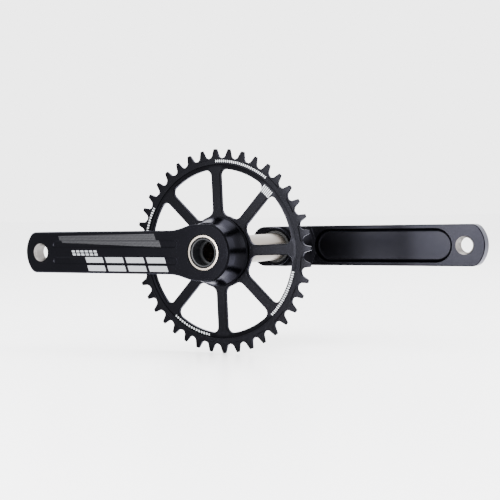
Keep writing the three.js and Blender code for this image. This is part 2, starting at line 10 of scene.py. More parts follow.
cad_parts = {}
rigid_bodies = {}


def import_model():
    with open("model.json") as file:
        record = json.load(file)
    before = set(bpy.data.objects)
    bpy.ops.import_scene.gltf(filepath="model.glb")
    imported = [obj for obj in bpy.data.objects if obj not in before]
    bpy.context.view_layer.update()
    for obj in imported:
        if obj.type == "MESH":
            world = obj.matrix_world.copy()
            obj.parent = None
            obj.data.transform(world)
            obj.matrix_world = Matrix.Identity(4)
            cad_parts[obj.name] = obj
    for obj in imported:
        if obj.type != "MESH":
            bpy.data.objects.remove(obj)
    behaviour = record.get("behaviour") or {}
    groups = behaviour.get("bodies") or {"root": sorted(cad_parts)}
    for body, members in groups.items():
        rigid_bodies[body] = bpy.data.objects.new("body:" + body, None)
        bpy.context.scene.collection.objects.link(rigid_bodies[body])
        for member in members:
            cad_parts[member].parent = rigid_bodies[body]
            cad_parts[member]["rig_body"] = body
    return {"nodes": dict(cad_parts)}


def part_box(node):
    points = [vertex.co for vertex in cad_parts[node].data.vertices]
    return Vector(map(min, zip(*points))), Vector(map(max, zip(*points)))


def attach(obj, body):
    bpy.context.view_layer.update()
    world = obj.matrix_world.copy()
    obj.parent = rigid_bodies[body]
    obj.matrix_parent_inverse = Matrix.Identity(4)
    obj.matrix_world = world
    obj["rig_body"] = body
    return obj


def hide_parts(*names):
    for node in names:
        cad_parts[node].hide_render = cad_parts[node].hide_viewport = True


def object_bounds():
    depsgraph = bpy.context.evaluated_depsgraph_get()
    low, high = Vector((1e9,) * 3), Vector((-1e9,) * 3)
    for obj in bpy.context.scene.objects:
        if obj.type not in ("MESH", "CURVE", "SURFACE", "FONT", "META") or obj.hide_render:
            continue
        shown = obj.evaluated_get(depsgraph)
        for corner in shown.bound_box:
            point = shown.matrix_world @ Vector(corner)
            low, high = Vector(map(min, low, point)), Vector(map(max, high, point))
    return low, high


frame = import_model()
cad_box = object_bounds()
mm = 0.001


# ---------------------------------------------------------------------------------------------
# Camera: a long lens a little above the spindle, forward of the drive side.
camera_place = Vector((436.8, -765.8, 32.4)) * mm
camera_turn = math.radians(29.77)
camera_tilt = math.radians(2.18)
camera_roll = math.radians(1.21)

lens = bpy.data.cameras.new("studio_camera")
lens.lens = 72.85
lens.sensor_width = 36
camera = bpy.data.objects.new("studio_camera", lens)
camera.matrix_world = (
    Matrix.Translation(camera_place)
    @ Matrix.Rotation(camera_turn, 4, "Z")
    @ Matrix.Rotation(math.pi / 2 - camera_tilt, 4, "X")
    @ Matrix.Rotation(-camera_roll, 4, "Z")
)
bpy.context.scene.collection.objects.link(camera)
bpy.context.scene.camera = camera


# ---------------------------------------------------------------------------------------------
# Floor and light: a plain pale studio floor just under the lowest tooth, white surroundings and
# three soft panels, overhead, in front and behind the left arm.
floor_half = 15.0
floor_colour = "#F6F6F7"
world_colour = "#FFFFFF"
world_strength = 4.0
panels = [
    ("overhead_panel", (0.1, 0.1, 1.6), (1.6, 1.4), 45),
    ("front_panel", (-0.22, -1.6, 0.15), (0.65, 0.45), 120),
    ("side_panel", (1.5, 0.3, 0.6), (0.7, 1.0), 30),
]


def linear(colour):
    """An sRGB hex colour as a linear RGBA list."""
    values = [int(colour[i:i + 2], 16) / 255 for i in (1, 3, 5)]
    return [v / 12.92 if v <= 0.04045 else ((v + 0.055) / 1.055) ** 2.4 for v in values] + [1]


def node(tree, kind, inputs=None, **settings):
    """Adds a node; inputs maps a socket's name or number to a value, or to the socket it follows."""
    made = tree.nodes.new(kind)
    for name, value in settings.items():
        setattr(made, name, value)
    for socket, value in (inputs or {}).items():
        if isinstance(value, bpy.types.NodeSocket):
            tree.links.new(value, made.inputs[socket])
        else:
            made.inputs[socket].default_value = value
    return made


def new_material(name):
    """An empty material and its node tree."""
    made = bpy.data.materials.new(name)
    made.use_nodes = True
    made.node_tree.nodes.clear()
    return made, made.node_tree


def link_mesh(name, vertices, faces, material):
    """A mesh object in the scene with this material."""
    mesh = bpy.data.meshes.new(name)
    mesh.from_pydata(vertices, [], faces)
    mesh.materials.append(material)
    made = bpy.data.objects.new(name, mesh)
    bpy.context.scene.collection.objects.link(made)
    return made


pale_floor, tree = new_material("pale studio floor")
shader = node(tree, "ShaderNodeBsdfPrincipled", {
    "Base Color": linear(floor_colour),
    "Roughness": 0.32,
    "IOR": 1.45,
})
node(tree, "ShaderNodeOutputMaterial", {"Surface": shader.outputs[0]})

floor_level = cad_box[0][2] - 0.1 * mm
corners = [(x, y, floor_level) for x, y in ((-1, -1), (1, -1), (1, 1), (-1, 1))]
floor = link_mesh(
    "studio_floor",
    [(x * floor_half, y * floor_half, z) for x, y, z in corners],
    [(0, 1, 2, 3)],
    pale_floor,
)

world = bpy.data.worlds.new("white_surroundings")
world.use_nodes = True
bpy.context.scene.world = world
background = world.node_tree.nodes["Background"]
background.inputs["Color"].default_value = linear(world_colour)
background.inputs["Strength"].default_value = world_strength

for name, place, size, power in panels:
    data = bpy.data.lights.new(name, "AREA")
    data.shape = "RECTANGLE"
    data.size, data.size_y = size
    data.energy = power
    panel = bpy.data.objects.new(name, data)
    panel.location = place
    panel.rotation_euler = Vector(place).to_track_quat("Z", "Y").to_euler()
    bpy.context.scene.collection.objects.link(panel)


# ---------------------------------------------------------------------------------------------
# Chainring: a plate of aluminium, turned to its stepped section, milled through between eight
# spokes, toothed wide and narrow by turns and anodised black. White marks are pad-printed on it.
ring_low, ring_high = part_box("chainring")
ring_front = ring_low.y
ring_back = ring_high.y
ring_middle = (ring_front + ring_back) / 2
tooth_tip = ring_high.z
tooth_count = 40
tooth_pitch = 12.7 * mm
pitch_circle = tooth_pitch / (2 * math.sin(math.pi / tooth_count))
roller_radius = 3.9 * mm
seat_reach = math.radians(78)
tip_half = 1.5 * mm
tip_round = 0.55 * mm
wide_half = 1.6 * mm
narrow_half = 1.0 * mm
narrow_from = 75.8 * mm
tooth_taper_from = 80.2 * mm
tooth_taper = 0.5 * mm
tooth_edge = 0.3 * mm
tooth_border = math.radians(0.2)
rim_half = 2 * mm
rim_inner = 71.7 * mm
band_inner = 69.2 * mm
groove_depth = 0.4 * mm
web_hole = 16.8 * mm
web_overlap = 1 * mm
spoke_count = 8
spoke_width = 8.7 * mm
window_inner = 30.3 * mm
window_outer = 68 * mm
window_inner_fillet = 6.5 * mm
window_outer_fillet = 5 * mm
window_chamfer = 0.55 * mm
ring_clocking = math.radians(1.6)
ring_black = "#060607"
ring_black_light = "#08080A"
ring_mark_white = "#86888A"
glancing_tint = (0.7, 0.7, 0.76, 1)
turning_mark = 0.7 * mm          # a lathe leaves marks 0.15 mm apart: drawn coarser, so that they show
blast_grain = 0.35 * mm          # glass beads leave dents of 0.1 mm: drawn coarser, so that they show
ring_marks = [                   # middle angle, half length (degrees), radius, half height (mm), pitch
    (72, 20, 74.5, 0.9, 1.9),
    (-30, 17, 70.2, 0.9, 1.9),
    (-114, 15, 70.2, 0.9, 2.6),
    (158.5, 8.5, 74.0, 0.9, 2.3),
    (46.5, 4.5, 66.5, 3.0, 1.7),
]
dash_share = 0.52


def arc(x, z, radius, start, end, steps):
    """Points (x, z) along an arc."""
    angles = [start + (end - start) * i / steps for i in range(steps + 1)]
    return [(x + radius * math.cos(a), z + radius * math.sin(a)) for a in angles]


def close_normals(piece):
    """Merges doubled points and turns every face outwards."""
    work = bmesh.new()
    work.from_mesh(piece.data)
    bmesh.ops.remove_doubles(work, verts=work.verts, dist=1e-7)
    bmesh.ops.dissolve_degenerate(work, edges=work.edges, dist=1e-7)
    bmesh.ops.recalc_face_normals(work, faces=work.faces)
    work.to_mesh(piece.data)
    work.free()
    return piece


def walls(count, rows):
    """Faces between rows of this many points, which match one to one and close on themselves."""
    faces = []
    for i in range(rows - 1):
        for k in range(count):
            a, b = i * count + k, i * count + (k + 1) % count
            faces.append((a, b, b + count, a + count))
    return faces


def loft(name, rings, material):
    """A closed solid through rings of points that match one to one, with a flat face at each end."""
    count = len(rings[0])
    last = (len(rings) - 1) * count
    ends = [tuple(range(count))[::-1], tuple(range(last, last + count))]
    faces = walls(count, len(rings)) + ends
    return close_normals(link_mesh(name, [p for ring in rings for p in ring], faces, material))


def lathe(name, profile, steps, material, x=0.0, z=0.0):
    """A profile of (radius, y) points turned about the Y axis through (x, z). One that starts and
    ends on the axis is closed there; any other closes on itself."""
    on_axis = profile[0][0] == 0 and profile[-1][0] == 0
    vertices, faces = [], []
    for k in range(steps):
        a = 2 * math.pi * k / steps
        vertices += [(x + r * math.cos(a), y, z + r * math.sin(a)) for r, y in profile]
    count = len(profile)
    for k in range(steps):
        here, there = k * count, (k + 1) % steps * count
        for i in range(count - 1 if on_axis else count):
            j = (i + 1) % count
            faces.append((here + i, here + j, there + j, there + i))
    return close_normals(link_mesh(name, vertices, faces, material))


def plain_mesh(piece):
    """Turns a piece with modifiers into the mesh that they give."""
    depsgraph = bpy.context.evaluated_depsgraph_get()
    mesh = bpy.data.meshes.new_from_object(piece.evaluated_get(depsgraph))
    piece.modifiers.clear()
    piece.data = mesh
    return piece


def combine(piece, tool, operation):
    """Joins a closed tool to the piece, cuts it away or keeps what they share. Faces that the tool
    leaves keep the tool's material."""
    change = piece.modifiers.new(operation, "BOOLEAN")
    change.object = tool
    change.operation = operation
    change.solver = "EXACT"
    change.material_mode = "TRANSFER"
    plain_mesh(piece)
    bpy.data.objects.remove(tool)
    return piece


def smooth(piece, degrees):
    """Shades edges flatter than this smooth and keeps flat faces flat."""
    close_normals(piece)
    piece.data.shade_smooth()
    piece.data.set_sharp_from_angle(angle=math.radians(degrees))
    weigh = piece.modifiers.new("weighted normals", "WEIGHTED_NORMAL")
    weigh.keep_sharp = True
    return plain_mesh(piece)


def copies_tree():
    """Geometry Nodes: turns copies of the piece about the Y axis and joins them into one mesh."""
    tree = bpy.data.node_groups.new("copies round the spindle", "GeometryNodeTree")
    for name, kind, way in (
        ("Piece", "NodeSocketGeometry", "INPUT"),
        ("Copies", "NodeSocketInt", "INPUT"),
        ("First angle", "NodeSocketFloat", "INPUT"),
        ("Material", "NodeSocketMaterial", "INPUT"),
        ("Result", "NodeSocketGeometry", "OUTPUT"),
    ):
        tree.interface.new_socket(name, in_out=way, socket_type=kind)
    given = node(tree, "NodeGroupInput").outputs
    places = node(tree, "GeometryNodeMeshLine", {"Count": given["Copies"], "Offset": (0, 0, 0)})
    index = node(tree, "GeometryNodeInputIndex")
    step = node(tree, "ShaderNodeMath", {0: -2 * math.pi, 1: given["Copies"]}, operation="DIVIDE")
    turn = node(tree, "ShaderNodeMath", {
        0: index.outputs[0],
        1: step.outputs[0],
        2: given["First angle"],
    }, operation="MULTIPLY_ADD")
    spin = node(tree, "ShaderNodeCombineXYZ", {"Y": turn.outputs[0]})
    spread = node(tree, "GeometryNodeInstanceOnPoints", {
        "Points": places.outputs[0],
        "Instance": given["Piece"],
        "Rotation": spin.outputs[0],
    })
    real = node(tree, "GeometryNodeRealizeInstances", {0: spread.outputs[0]})
    joined = node(tree, "GeometryNodeMergeByDistance", {
        "Geometry": real.outputs[0],
        "Distance": 1e-6,
    })
    finished = node(tree, "GeometryNodeSetMaterial", {
        "Geometry": joined.outputs[0],
        "Material": given["Material"],
    })
    node(tree, "NodeGroupOutput", {"Result": finished.outputs[0]})
    return tree


round_the_spindle = copies_tree()


def repeat(piece, copies, first_angle=0.0):
    """Puts the copies in place with Geometry Nodes; angles run from +X towards +Z."""
    change = piece.modifiers.new("copies", "NODES")
    change.node_group = round_the_spindle
    settings = {
        "Copies": copies,
        "First angle": -first_angle,
        "Material": piece.data.materials[0],
    }
    for item in round_the_spindle.interface.items_tree:
        if item.in_out == "INPUT" and item.name in settings:
            change[item.identifier] = settings[item.name]
    return close_normals(plain_mesh(piece))


def blasted_black(name, dark, light, roughness):
    """Black anodised aluminium over a bead-blasted surface: a hard dyed oxide, satin, so the metal's
    shine comes back dimmed, and more so at a glancing angle, where the dents shade each other."""
    made, tree = new_material(name)
    place = node(tree, "ShaderNodeTexCoord").outputs["Object"]
    clouds = node(tree, "ShaderNodeTexNoise", {"Vector": place, "Scale": 1 / (24 * mm), "Detail": 3})
    tint = node(tree, "ShaderNodeMix", {
        "Factor": clouds.outputs[0],
        6: linear(dark),
        7: linear(light),
    }, data_type="RGBA")
    grain = node(tree, "ShaderNodeTexNoise", {"Vector": place, "Scale": 1 / blast_grain, "Detail": 2})
    bump = node(tree, "ShaderNodeBump", {
        "Height": grain.outputs[0],
        "Strength": 0.25,
        "Distance": 0.03 * mm,
    })
    rough = node(tree, "ShaderNodeMapRange", {
        "Value": grain.outputs[0],
        "To Min": roughness - 0.05,
        "To Max": roughness + 0.05,
    })
    shader = node(tree, "ShaderNodeBsdfPrincipled", {
        "Base Color": tint.outputs["Result"],
        "Metallic": 1.0,
        "Roughness": rough.outputs[0],
        "Specular Tint": glancing_tint,
        "Normal": bump.outputs[0],
    })
    node(tree, "ShaderNodeOutputMaterial", {"Surface": shader.outputs[0]})
    return made, tree, place, shader, bump


def print_on(tree, shader, mask, colour):
    """Lays a printed ink over the shader's colour where the mask is 1: matt, and not metal."""
    under = shader.inputs["Base Color"].links[0].from_socket
    inked = node(tree, "ShaderNodeMix", {
        "Factor": mask,
        6: under,
        7: linear(colour),
    }, data_type="RGBA")
    tree.links.new(inked.outputs["Result"], shader.inputs["Base Color"])
    bare = node(tree, "ShaderNodeMapRange", {
        "Value": mask,
        "To Min": 1.0,
        "To Max": 0.0,
    })
    tree.links.new(bare.outputs[0], shader.inputs["Metallic"])


def join_masks(tree, operation, masks):
    """Joins printed areas: MULTIPLY leaves what they all share, MAXIMUM adds them up."""
    joined = masks[0]
    for mask in masks[1:]:
        joined = node(tree, "ShaderNodeMath", {0: joined, 1: mask}, operation=operation).outputs[0]
    return joined


ring_finish, tree, place, shader, bump = blasted_black(
    "black anodised aluminium, turned", ring_black, ring_black_light, 0.36
)
split = node(tree, "ShaderNodeSeparateXYZ", {0: place}).outputs
flattened = node(tree, "ShaderNodeVectorMath", {0: place, 1: (1, 0, 1)}, operation="MULTIPLY")
distance = node(tree, "ShaderNodeVectorMath", {0: flattened.outputs[0]}, operation="LENGTH")
from_axis = distance.outputs["Value"]
turns = node(tree, "ShaderNodeMath", {0: from_axis, 1: 2 * math.pi / turning_mark}, operation="MULTIPLY")
turned_marks = node(tree, "ShaderNodeMath", {0: turns.outputs[0]}, operation="SINE")
turned_bump = node(tree, "ShaderNodeBump", {
    "Height": turned_marks.outputs[0],
    "Strength": 0.12,
    "Distance": 0.02 * mm,
    "Normal": bump.outputs[0],
})
tree.links.new(turned_bump.outputs[0], shader.inputs["Normal"])
angle = node(tree, "ShaderNodeMath", {0: split["Z"], 1: split["X"]}, operation="ARCTAN2").outputs[0]
patches = []
for middle, half, radius, height, pitch in ring_marks:
    along = node(tree, "ShaderNodeMath", {
        0: angle,
        1: math.radians(middle),
        2: math.radians(half),
    }, operation="COMPARE").outputs[0]
    across = node(tree, "ShaderNodeMath", {
        0: from_axis,
        1: radius * mm,
        2: height * mm,
    }, operation="COMPARE").outputs[0]
    steps = node(tree, "ShaderNodeMath", {0: angle, 1: radius / pitch}, operation="MULTIPLY").outputs[0]
    beat = node(tree, "ShaderNodeMath", {0: steps}, operation="FRACT").outputs[0]
    dashes = node(tree, "ShaderNodeMath", {0: beat, 1: dash_share}, operation="LESS_THAN").outputs[0]
    patches.append(join_masks(tree, "MULTIPLY", [along, across, dashes]))
front_only = node(tree, "ShaderNodeMath", {0: split["Y"], 1: ring_middle}, operation="LESS_THAN")
ring_ink = join_masks(tree, "MULTIPLY", [join_masks(tree, "MAXIMUM", patches), front_only.outputs[0]])
print_on(tree, shader, ring_ink, ring_mark_white)


def tooth_half():
    """Half a tooth from the bottom of its seat to the middle of its tip, as (angle, radius) about
    the spindle, with angles from the tooth's middle."""
    half_pitch = math.pi / tooth_count
    seat = arc(
        pitch_circle * math.cos(half_pitch), pitch_circle * math.sin(half_pitch), roller_radius,
        half_pitch + math.pi, half_pitch + math.pi + seat_reach, 9,
    )
    foot = seat[-1]
    head = (tooth_tip - tip_round, tip_half)
    flank = [
        (foot[0] + (head[0] - foot[0]) * t, foot[1] + (head[1] - foot[1]) * t)
        for t in (0.33, 0.66)
    ]
    crown = arc(tooth_tip - tip_round, tip_half - tip_round, tip_round, math.pi / 2, 0, 3)
    outline = seat + flank + crown + [(tooth_tip, 0)]
    return [(math.atan2(z, x), math.hypot(x, z)) for x, z in outline]


def tooth_section(radius, half):
    """Closed section of the rim at one angle, as (radius, y): front face, edge, back face."""
    drop = tooth_taper * max(0, (radius - tooth_taper_from) / (tooth_tip - tooth_taper_from))
    front = [
        (rim_inner, wide_half - tooth_edge),
        (rim_inner + tooth_edge, wide_half),
        (narrow_from - 0.3 * mm, wide_half),
        (narrow_from + 0.2 * mm, half),
        (min(radius - 2 * tooth_edge, tooth_taper_from), half),
        (radius - tooth_edge, half - drop),
        (radius, half - drop - tooth_edge),
    ]
    return [(r, ring_middle - y) for r, y in front] + [(r, ring_middle + y) for r, y in front[::-1]]


def tooth_pair():
    """One wide tooth and the narrow one after it, open at both ends."""
    pitch = 2 * math.pi / tooth_count
    half = tooth_half()
    whole = [(a, r) for a, r in half[:-1]] + [(-a, r) for a, r in half[::-1]]
    columns = []
    for place, thickness in ((0, wide_half), (pitch, narrow_half)):
        for i, (a, r) in enumerate(whole[::-1]):
            inwards = tooth_border if i == 0 else -tooth_border if i == len(whole) - 1 else 0
            columns.append((place + a + (inwards if thickness == narrow_half else 0), r, thickness))
    columns.append((3 * pitch / 2, half[0][1], wide_half))
    vertices = []
    for a, r, thickness in columns:
        vertices += [(p * math.cos(a), y, p * math.sin(a)) for p, y in tooth_section(r, thickness)]
    faces = walls(len(vertices) // len(columns), len(columns))
    return link_mesh("toothed_ring", vertices, faces, ring_finish)


def inset(outline, distance):
    """A closed outline moved inwards; its points run from +X towards +Z."""
    moved = []
    for i, (x, z) in enumerate(outline):
        ahead, behind = outline[(i + 1) % len(outline)], outline[i - 1]
        run = Vector((ahead[0] - behind[0], ahead[1] - behind[1])).normalized()
        moved.append((x - run.y * distance, z + run.x * distance))
    return moved


def window_outline():
    """Opening between the spoke along +X and the next one."""
    corner = 2 * math.pi / spoke_count
    inner, outer = window_inner + window_inner_fillet, window_outer - window_outer_fillet
    lean = math.asin((spoke_width / 2 + window_inner_fillet) / inner)
    turn = math.asin((spoke_width / 2 + window_outer_fillet) / outer)

    def fillet(distance, angle, radius, start, end):
        return arc(distance * math.cos(angle), distance * math.sin(angle), radius, start, end, 12)

    quarter = math.pi / 2
    return (
        arc(0, 0, window_outer, turn, corner - turn, 24)
        + fillet(outer, corner - turn, window_outer_fillet, corner - turn, corner + quarter)[1:]
        + fillet(inner, corner - lean, window_inner_fillet, corner + quarter, corner - lean + math.pi)
        + arc(0, 0, window_inner, corner - lean, lean, 6)[1:-1]
        + fillet(inner, lean, window_inner_fillet, lean + math.pi, 3 * quarter)
        + fillet(outer, turn, window_outer_fillet, -quarter, turn)[:-1]
    )


chainring = repeat(tooth_pair(), tooth_count // 2, ring_clocking)
cone_level = wide_half - groove_depth
web_profile = [
    (web_hole, rim_half - tooth_edge),
    (web_hole + tooth_edge, rim_half),
    (band_inner, rim_half),
    (rim_inner, cone_level),
    (rim_inner + web_overlap, cone_level),
]
web_front = [(r, ring_middle - y) for r, y in web_profile]
web_back = [(r, ring_middle + y) for r, y in web_profile[::-1]]
combine(chainring, lathe("web", web_front + web_back, 240, ring_finish), "UNION")
opening = window_outline()
window = loft("window", [
    [(x, y, z) for x, z in inset(opening, grow)]
    for grow, y in (
        (-window_chamfer - 0.5 * mm, ring_front - 0.5 * mm),
        (-window_chamfer, ring_front),
        (0, ring_front + window_chamfer),
        (0, ring_back - window_chamfer),
        (-window_chamfer, ring_back),
        (-window_chamfer - 0.5 * mm, ring_back + 0.5 * mm),
    )
], ring_finish)
combine(chainring, repeat(window, spoke_count, ring_clocking), "DIFFERENCE")
smooth(chainring, 32)
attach(chainring, "drive_side")
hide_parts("chainring")


# ---------------------------------------------------------------------------------------------
# Chainring bolts: three round-head steel screws from behind the ring into the arm's flange, with
# star sockets and a black oxide finish.
bolt_low, bolt_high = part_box("chainring_bolt_1")
bolt_circle = (bolt_low.z + bolt_high.z) / 2
bolt_head_radius = (bolt_high.x - bolt_low.x) / 2
bolt_tip = bolt_low.y
bolt_top = bolt_high.y
bolt_seat = bolt_top - 2.6 * mm
bolt_shank = 2.5 * mm
bolt_thread_pitch = 0.8 * mm
bolt_socket = 2.2 * mm
oxide_black = "#1B1C1E"


def black_oxide(name, roughness):
    """Black oxide on steel: a thin brown-black film, oiled, that keeps the metal's shine."""
    made, tree = new_material(name)
    place = node(tree, "ShaderNodeTexCoord").outputs["Object"]
    film = node(tree, "ShaderNodeTexNoise", {"Vector": place, "Scale": 1 / (1.5 * mm), "Detail": 4})
    rough = node(tree, "ShaderNodeMapRange", {
        "Value": film.outputs[0],
        "To Min": roughness - 0.07,
        "To Max": roughness + 0.07,
    })
    shader = node(tree, "ShaderNodeBsdfPrincipled", {
        "Base Color": linear(oxide_black),
        "Metallic": 1.0,
        "Roughness": rough.outputs[0],
    })
    node(tree, "ShaderNodeOutputMaterial", {"Surface": shader.outputs[0]})
    return made


bolt_finish = black_oxide("black oxide steel, rolled screw", 0.34)


def star(x, z, inner, outer, points):
    """Outline of a star socket with rounded valleys."""
    outline = []
    for i in range(points * 8):
        a = 2 * math.pi * i / (points * 8)
        r = (inner + outer) / 2 + (outer - inner) / 2 * math.cos(points * a)
        outline.append((x + r * math.cos(a), z + r * math.sin(a)))
    return outline


def ring_bolt():
    """The screw at the top of the bolt circle."""
    profile = [(0, bolt_tip), (bolt_shank - 0.5 * mm, bolt_tip)]
    turns = int((bolt_seat - 1 * mm - bolt_tip) / bolt_thread_pitch)
    for i in range(turns):
        y = bolt_tip + 0.5 * mm + i * bolt_thread_pitch
        profile += [(bolt_shank, y), (bolt_shank - 0.4 * mm, y + bolt_thread_pitch / 2)]
    profile += [
        (bolt_shank, bolt_seat - 0.6 * mm),
        (bolt_shank, bolt_seat),
        (bolt_head_radius - 0.15 * mm, bolt_seat),
        (bolt_head_radius, bolt_seat + 0.15 * mm),
        (bolt_head_radius, bolt_seat + 1.3 * mm),
    ]
    for a in (0.4, 0.8, 1.2, math.pi / 2):
        rounding = 1.1 * mm * (1 - math.cos(a))
        profile.append((bolt_head_radius - rounding, bolt_seat + (1.3 + 1.2 * math.sin(a)) * mm))
    profile += [(bolt_socket + 0.35 * mm, bolt_top), (0, bolt_top)]
    piece = lathe("chainring_bolts", profile, 48, bolt_finish, z=bolt_circle)
    tool = loft("socket", [
        [(x, y, z) for x, z in star(0, bolt_circle, bolt_socket * 0.74 + grow, bolt_socket + grow, 6)]
        for grow, y in (
            (0.3 * mm, bolt_top + 0.1 * mm),
            (0, bolt_top - 0.25 * mm),
            (0, bolt_top - 2.0 * mm),
            (-1.0 * mm, bolt_top - 2.3 * mm),
        )
    ], bolt_finish)
    return combine(piece, tool, "DIFFERENCE")


bolts = smooth(repeat(ring_bolt(), 3), 35)
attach(bolts, "drive_side")
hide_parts("chainring_bolt_1", "chainring_bolt_2", "chainring_bolt_3")


# ---------------------------------------------------------------------------------------------
# Drive arm: one aluminium forging with its boss and flange, machined on its faces, bead-blasted
# and anodised black, with the pedal thread cut bright afterwards. Grey marks are pad-printed.
arm_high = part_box("drive_arm")[1]
left_low, left_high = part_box("left_arm")
outer_face = left_high.y
arm_length = 170 * mm
half_width = left_high.z
tip_reach = 17.5 * mm
tip_radius = 24 * mm
tip_corner = 8 * mm
arm_thickness = 13 * mm
root_thickness = 17 * mm
boss_radius = 24.6 * mm
boss_flat = 22.9 * mm
flare_start = 8 * mm
flare_length = 26 * mm
face_ease = [(1.3, 0), (1.12, 0.05), (0.05, 1.12), (0, 1.3)]   # inset, depth in mm
back_ease = [(0, 0.7), (0.08, 0.45), (0.45, 0.08), (0.7, 0)]
pocket_half_width = 13 * mm
pocket_depth = 5 * mm
pocket_draft = 1.6 * mm
pocket_fillet = 1.2 * mm
pocket_end = 157 * mm
drive_pocket_start = 68 * mm
channel_offset = 7.1 * mm
channel_half = 3.3 * mm
channel_depth = 0.45 * mm
channel_ends = (24.5 * mm, 156.2 * mm)
pedal_hole = 7.15 * mm
pedal_mouth = 8.05 * mm
thread_pitch = 1.27 * mm
thread_depth = 0.55 * mm
flange_radius = arm_high.z
skirt_start = 7 * mm
flange_back = -ring_front + 0.3 * mm
flange_edge = 1.7 * mm
shoulder_radius = 16.5 * mm
shoulder_face = -arm_high.y
drive_seal_recess = 14.6 * mm
drive_seal_depth = 1.4 * mm
bore_start = 30 * mm
spindle_bore = 12.3 * mm
head_bore = 14.55 * mm
head_bore_length = 16.8 * mm
arm_black = "#060608"
arm_black_light = "#09090B"
arm_roughness = 0.29
thread_metal = "#6E6B69"
stripe_grey = "#303032"
block_grey = "#5E6062"
mark_slant = 0.35
mark_depth = 1.2 * mm
hatch = 1.3 * mm                  # screen lines 0.5 mm apart, drawn coarser so that they show
stripes = [                       # middle at the pedal end and at the boss, half heights, ends (mm)
    (12.55, 13.1, 2.0, 2.6, 42, 144.5),
    (9.35, 7.3, 1.0, 2.9, 39, 142.5),
]
slot_share = 0.2
block_rows = [                    # middle height, half height, ends, pitch, printed share (mm)
    (-9.9, 5.9, 39.2, 124.8, 21.4, 0.86),
    (-0.35, 2.2, 107.2, 135.7, 4.75, 0.7),
]


def soft_black(name, side):
    """The arms' finish with its printed stripes and blocks; side is -1 on the drive side, where the
    outer face looks along -Y, and +1 on the left."""
    made, tree, place, shader, bump = blasted_black(name, arm_black, arm_black_light, arm_roughness)
    scale = (side / mm, side / mm, 1 / mm)
    in_mm = node(tree, "ShaderNodeVectorMath", {0: place, 1: scale}, operation="MULTIPLY")
    along, outside, height = node(tree, "ShaderNodeSeparateXYZ", {0: in_mm.outputs[0]}).outputs
    slanted = node(tree, "ShaderNodeMath", {
        0: height,
        1: -mark_slant,
        2: along,
    }, operation="MULTIPLY_ADD").outputs[0]
    on_face = node(tree, "ShaderNodeMath", {
        0: outside,
        1: (outer_face - mark_depth) / mm,
    }, operation="GREATER_THAN").outputs[0]

    screen = [on_face]
    for across, bare in ((slanted, 0.22), (height, 0.15)):
        lines = node(tree, "ShaderNodeMath", {0: across, 1: mm / hatch}, operation="MULTIPLY").outputs[0]
        beat = node(tree, "ShaderNodeMath", {0: lines}, operation="FRACT").outputs[0]
        printed = node(tree, "ShaderNodeMath", {0: beat, 1: bare}, operation="GREATER_THAN")
        screen.append(printed.outputs[0])
    patches = []
    for pedal_z, boss_z, pedal_half, boss_half, start, end in stripes:
        rise = (pedal_z - boss_z) / (end - start)
        grow = (pedal_half - boss_half) / (end - start)
        middle = node(tree, "ShaderNodeMath", {
            0: along,
            1: rise,
            2: boss_z - rise * start,
        }, operation="MULTIPLY_ADD").outputs[0]
        half = node(tree, "ShaderNodeMath", {
            0: along,
            1: grow,
            2: boss_half - grow * start,
        }, operation="MULTIPLY_ADD").outputs[0]
        band = node(tree, "ShaderNodeMath", {
            0: height,
            1: middle,
            2: half,
        }, operation="COMPARE").outputs[0]
        ends = node(tree, "ShaderNodeMath", {
            0: slanted,
            1: (start + end) / 2,
            2: (end - start) / 2,
        }, operation="COMPARE").outputs[0]
        patches.append(join_masks(tree, "MULTIPLY", [band, ends]))
    stripe_ink = join_masks(tree, "MULTIPLY", [join_masks(tree, "MAXIMUM", patches)] + screen)
    print_on(tree, shader, stripe_ink, stripe_grey)

    patches = []
    for middle, half, start, end, pitch, share in block_rows:
        band = node(tree, "ShaderNodeMath", {
            0: height,
            1: middle,
            2: half,
        }, operation="COMPARE").outputs[0]
        ends = node(tree, "ShaderNodeMath", {
            0: slanted,
            1: (start + end) / 2,
            2: (end - start) / 2,
        }, operation="COMPARE").outputs[0]
        beats = node(tree, "ShaderNodeMath", {
            0: slanted,
            1: 1 / pitch,
            2: -start / pitch,
        }, operation="MULTIPLY_ADD").outputs[0]
        beat = node(tree, "ShaderNodeMath", {0: beats}, operation="FRACT").outputs[0]
        printed = node(tree, "ShaderNodeMath", {0: beat, 1: share}, operation="LESS_THAN").outputs[0]
        slot = node(tree, "ShaderNodeMath", {
            0: height,
            1: middle,
            2: half * slot_share,
        }, operation="COMPARE").outputs[0]
        solid = node(tree, "ShaderNodeMath", {0: 1.0, 1: slot}, operation="SUBTRACT").outputs[0]
        patches.append(join_masks(tree, "MULTIPLY", [band, ends, printed, solid]))
    block_ink = join_masks(tree, "MULTIPLY", [join_masks(tree, "MAXIMUM", patches), on_face])
    print_on(tree, shader, block_ink, block_grey)
    return made


def bright_thread(name):
    """Aluminium cut bright after anodising: silver, with fine turning lines round the hole."""
    made, tree = new_material(name)
    place = node(tree, "ShaderNodeTexCoord").outputs["Object"]
    rings = node(tree, "ShaderNodeVectorMath", {0: place, 1: (0.1, 1, 0.1)}, operation="MULTIPLY")
    lines = node(tree, "ShaderNodeTexNoise", {
        "Vector": rings.outputs[0],
        "Scale": 1 / (0.4 * mm),
        "Detail": 2,
    })
    bump = node(tree, "ShaderNodeBump", {
        "Height": lines.outputs[0],
        "Strength": 0.2,
        "Distance": 0.03 * mm,
    })
    shader = node(tree, "ShaderNodeBsdfPrincipled", {
        "Base Color": linear(thread_metal),
        "Metallic": 1.0,
        "Roughness": 0.28,
        "Normal": bump.outputs[0],
    })
    node(tree, "ShaderNodeOutputMaterial", {"Surface": shader.outputs[0]})
    return made


thread_finish = bright_thread("bright-cut aluminium thread")
drive_finish = soft_black("black anodised aluminium, bead-blasted, drive side", -1)


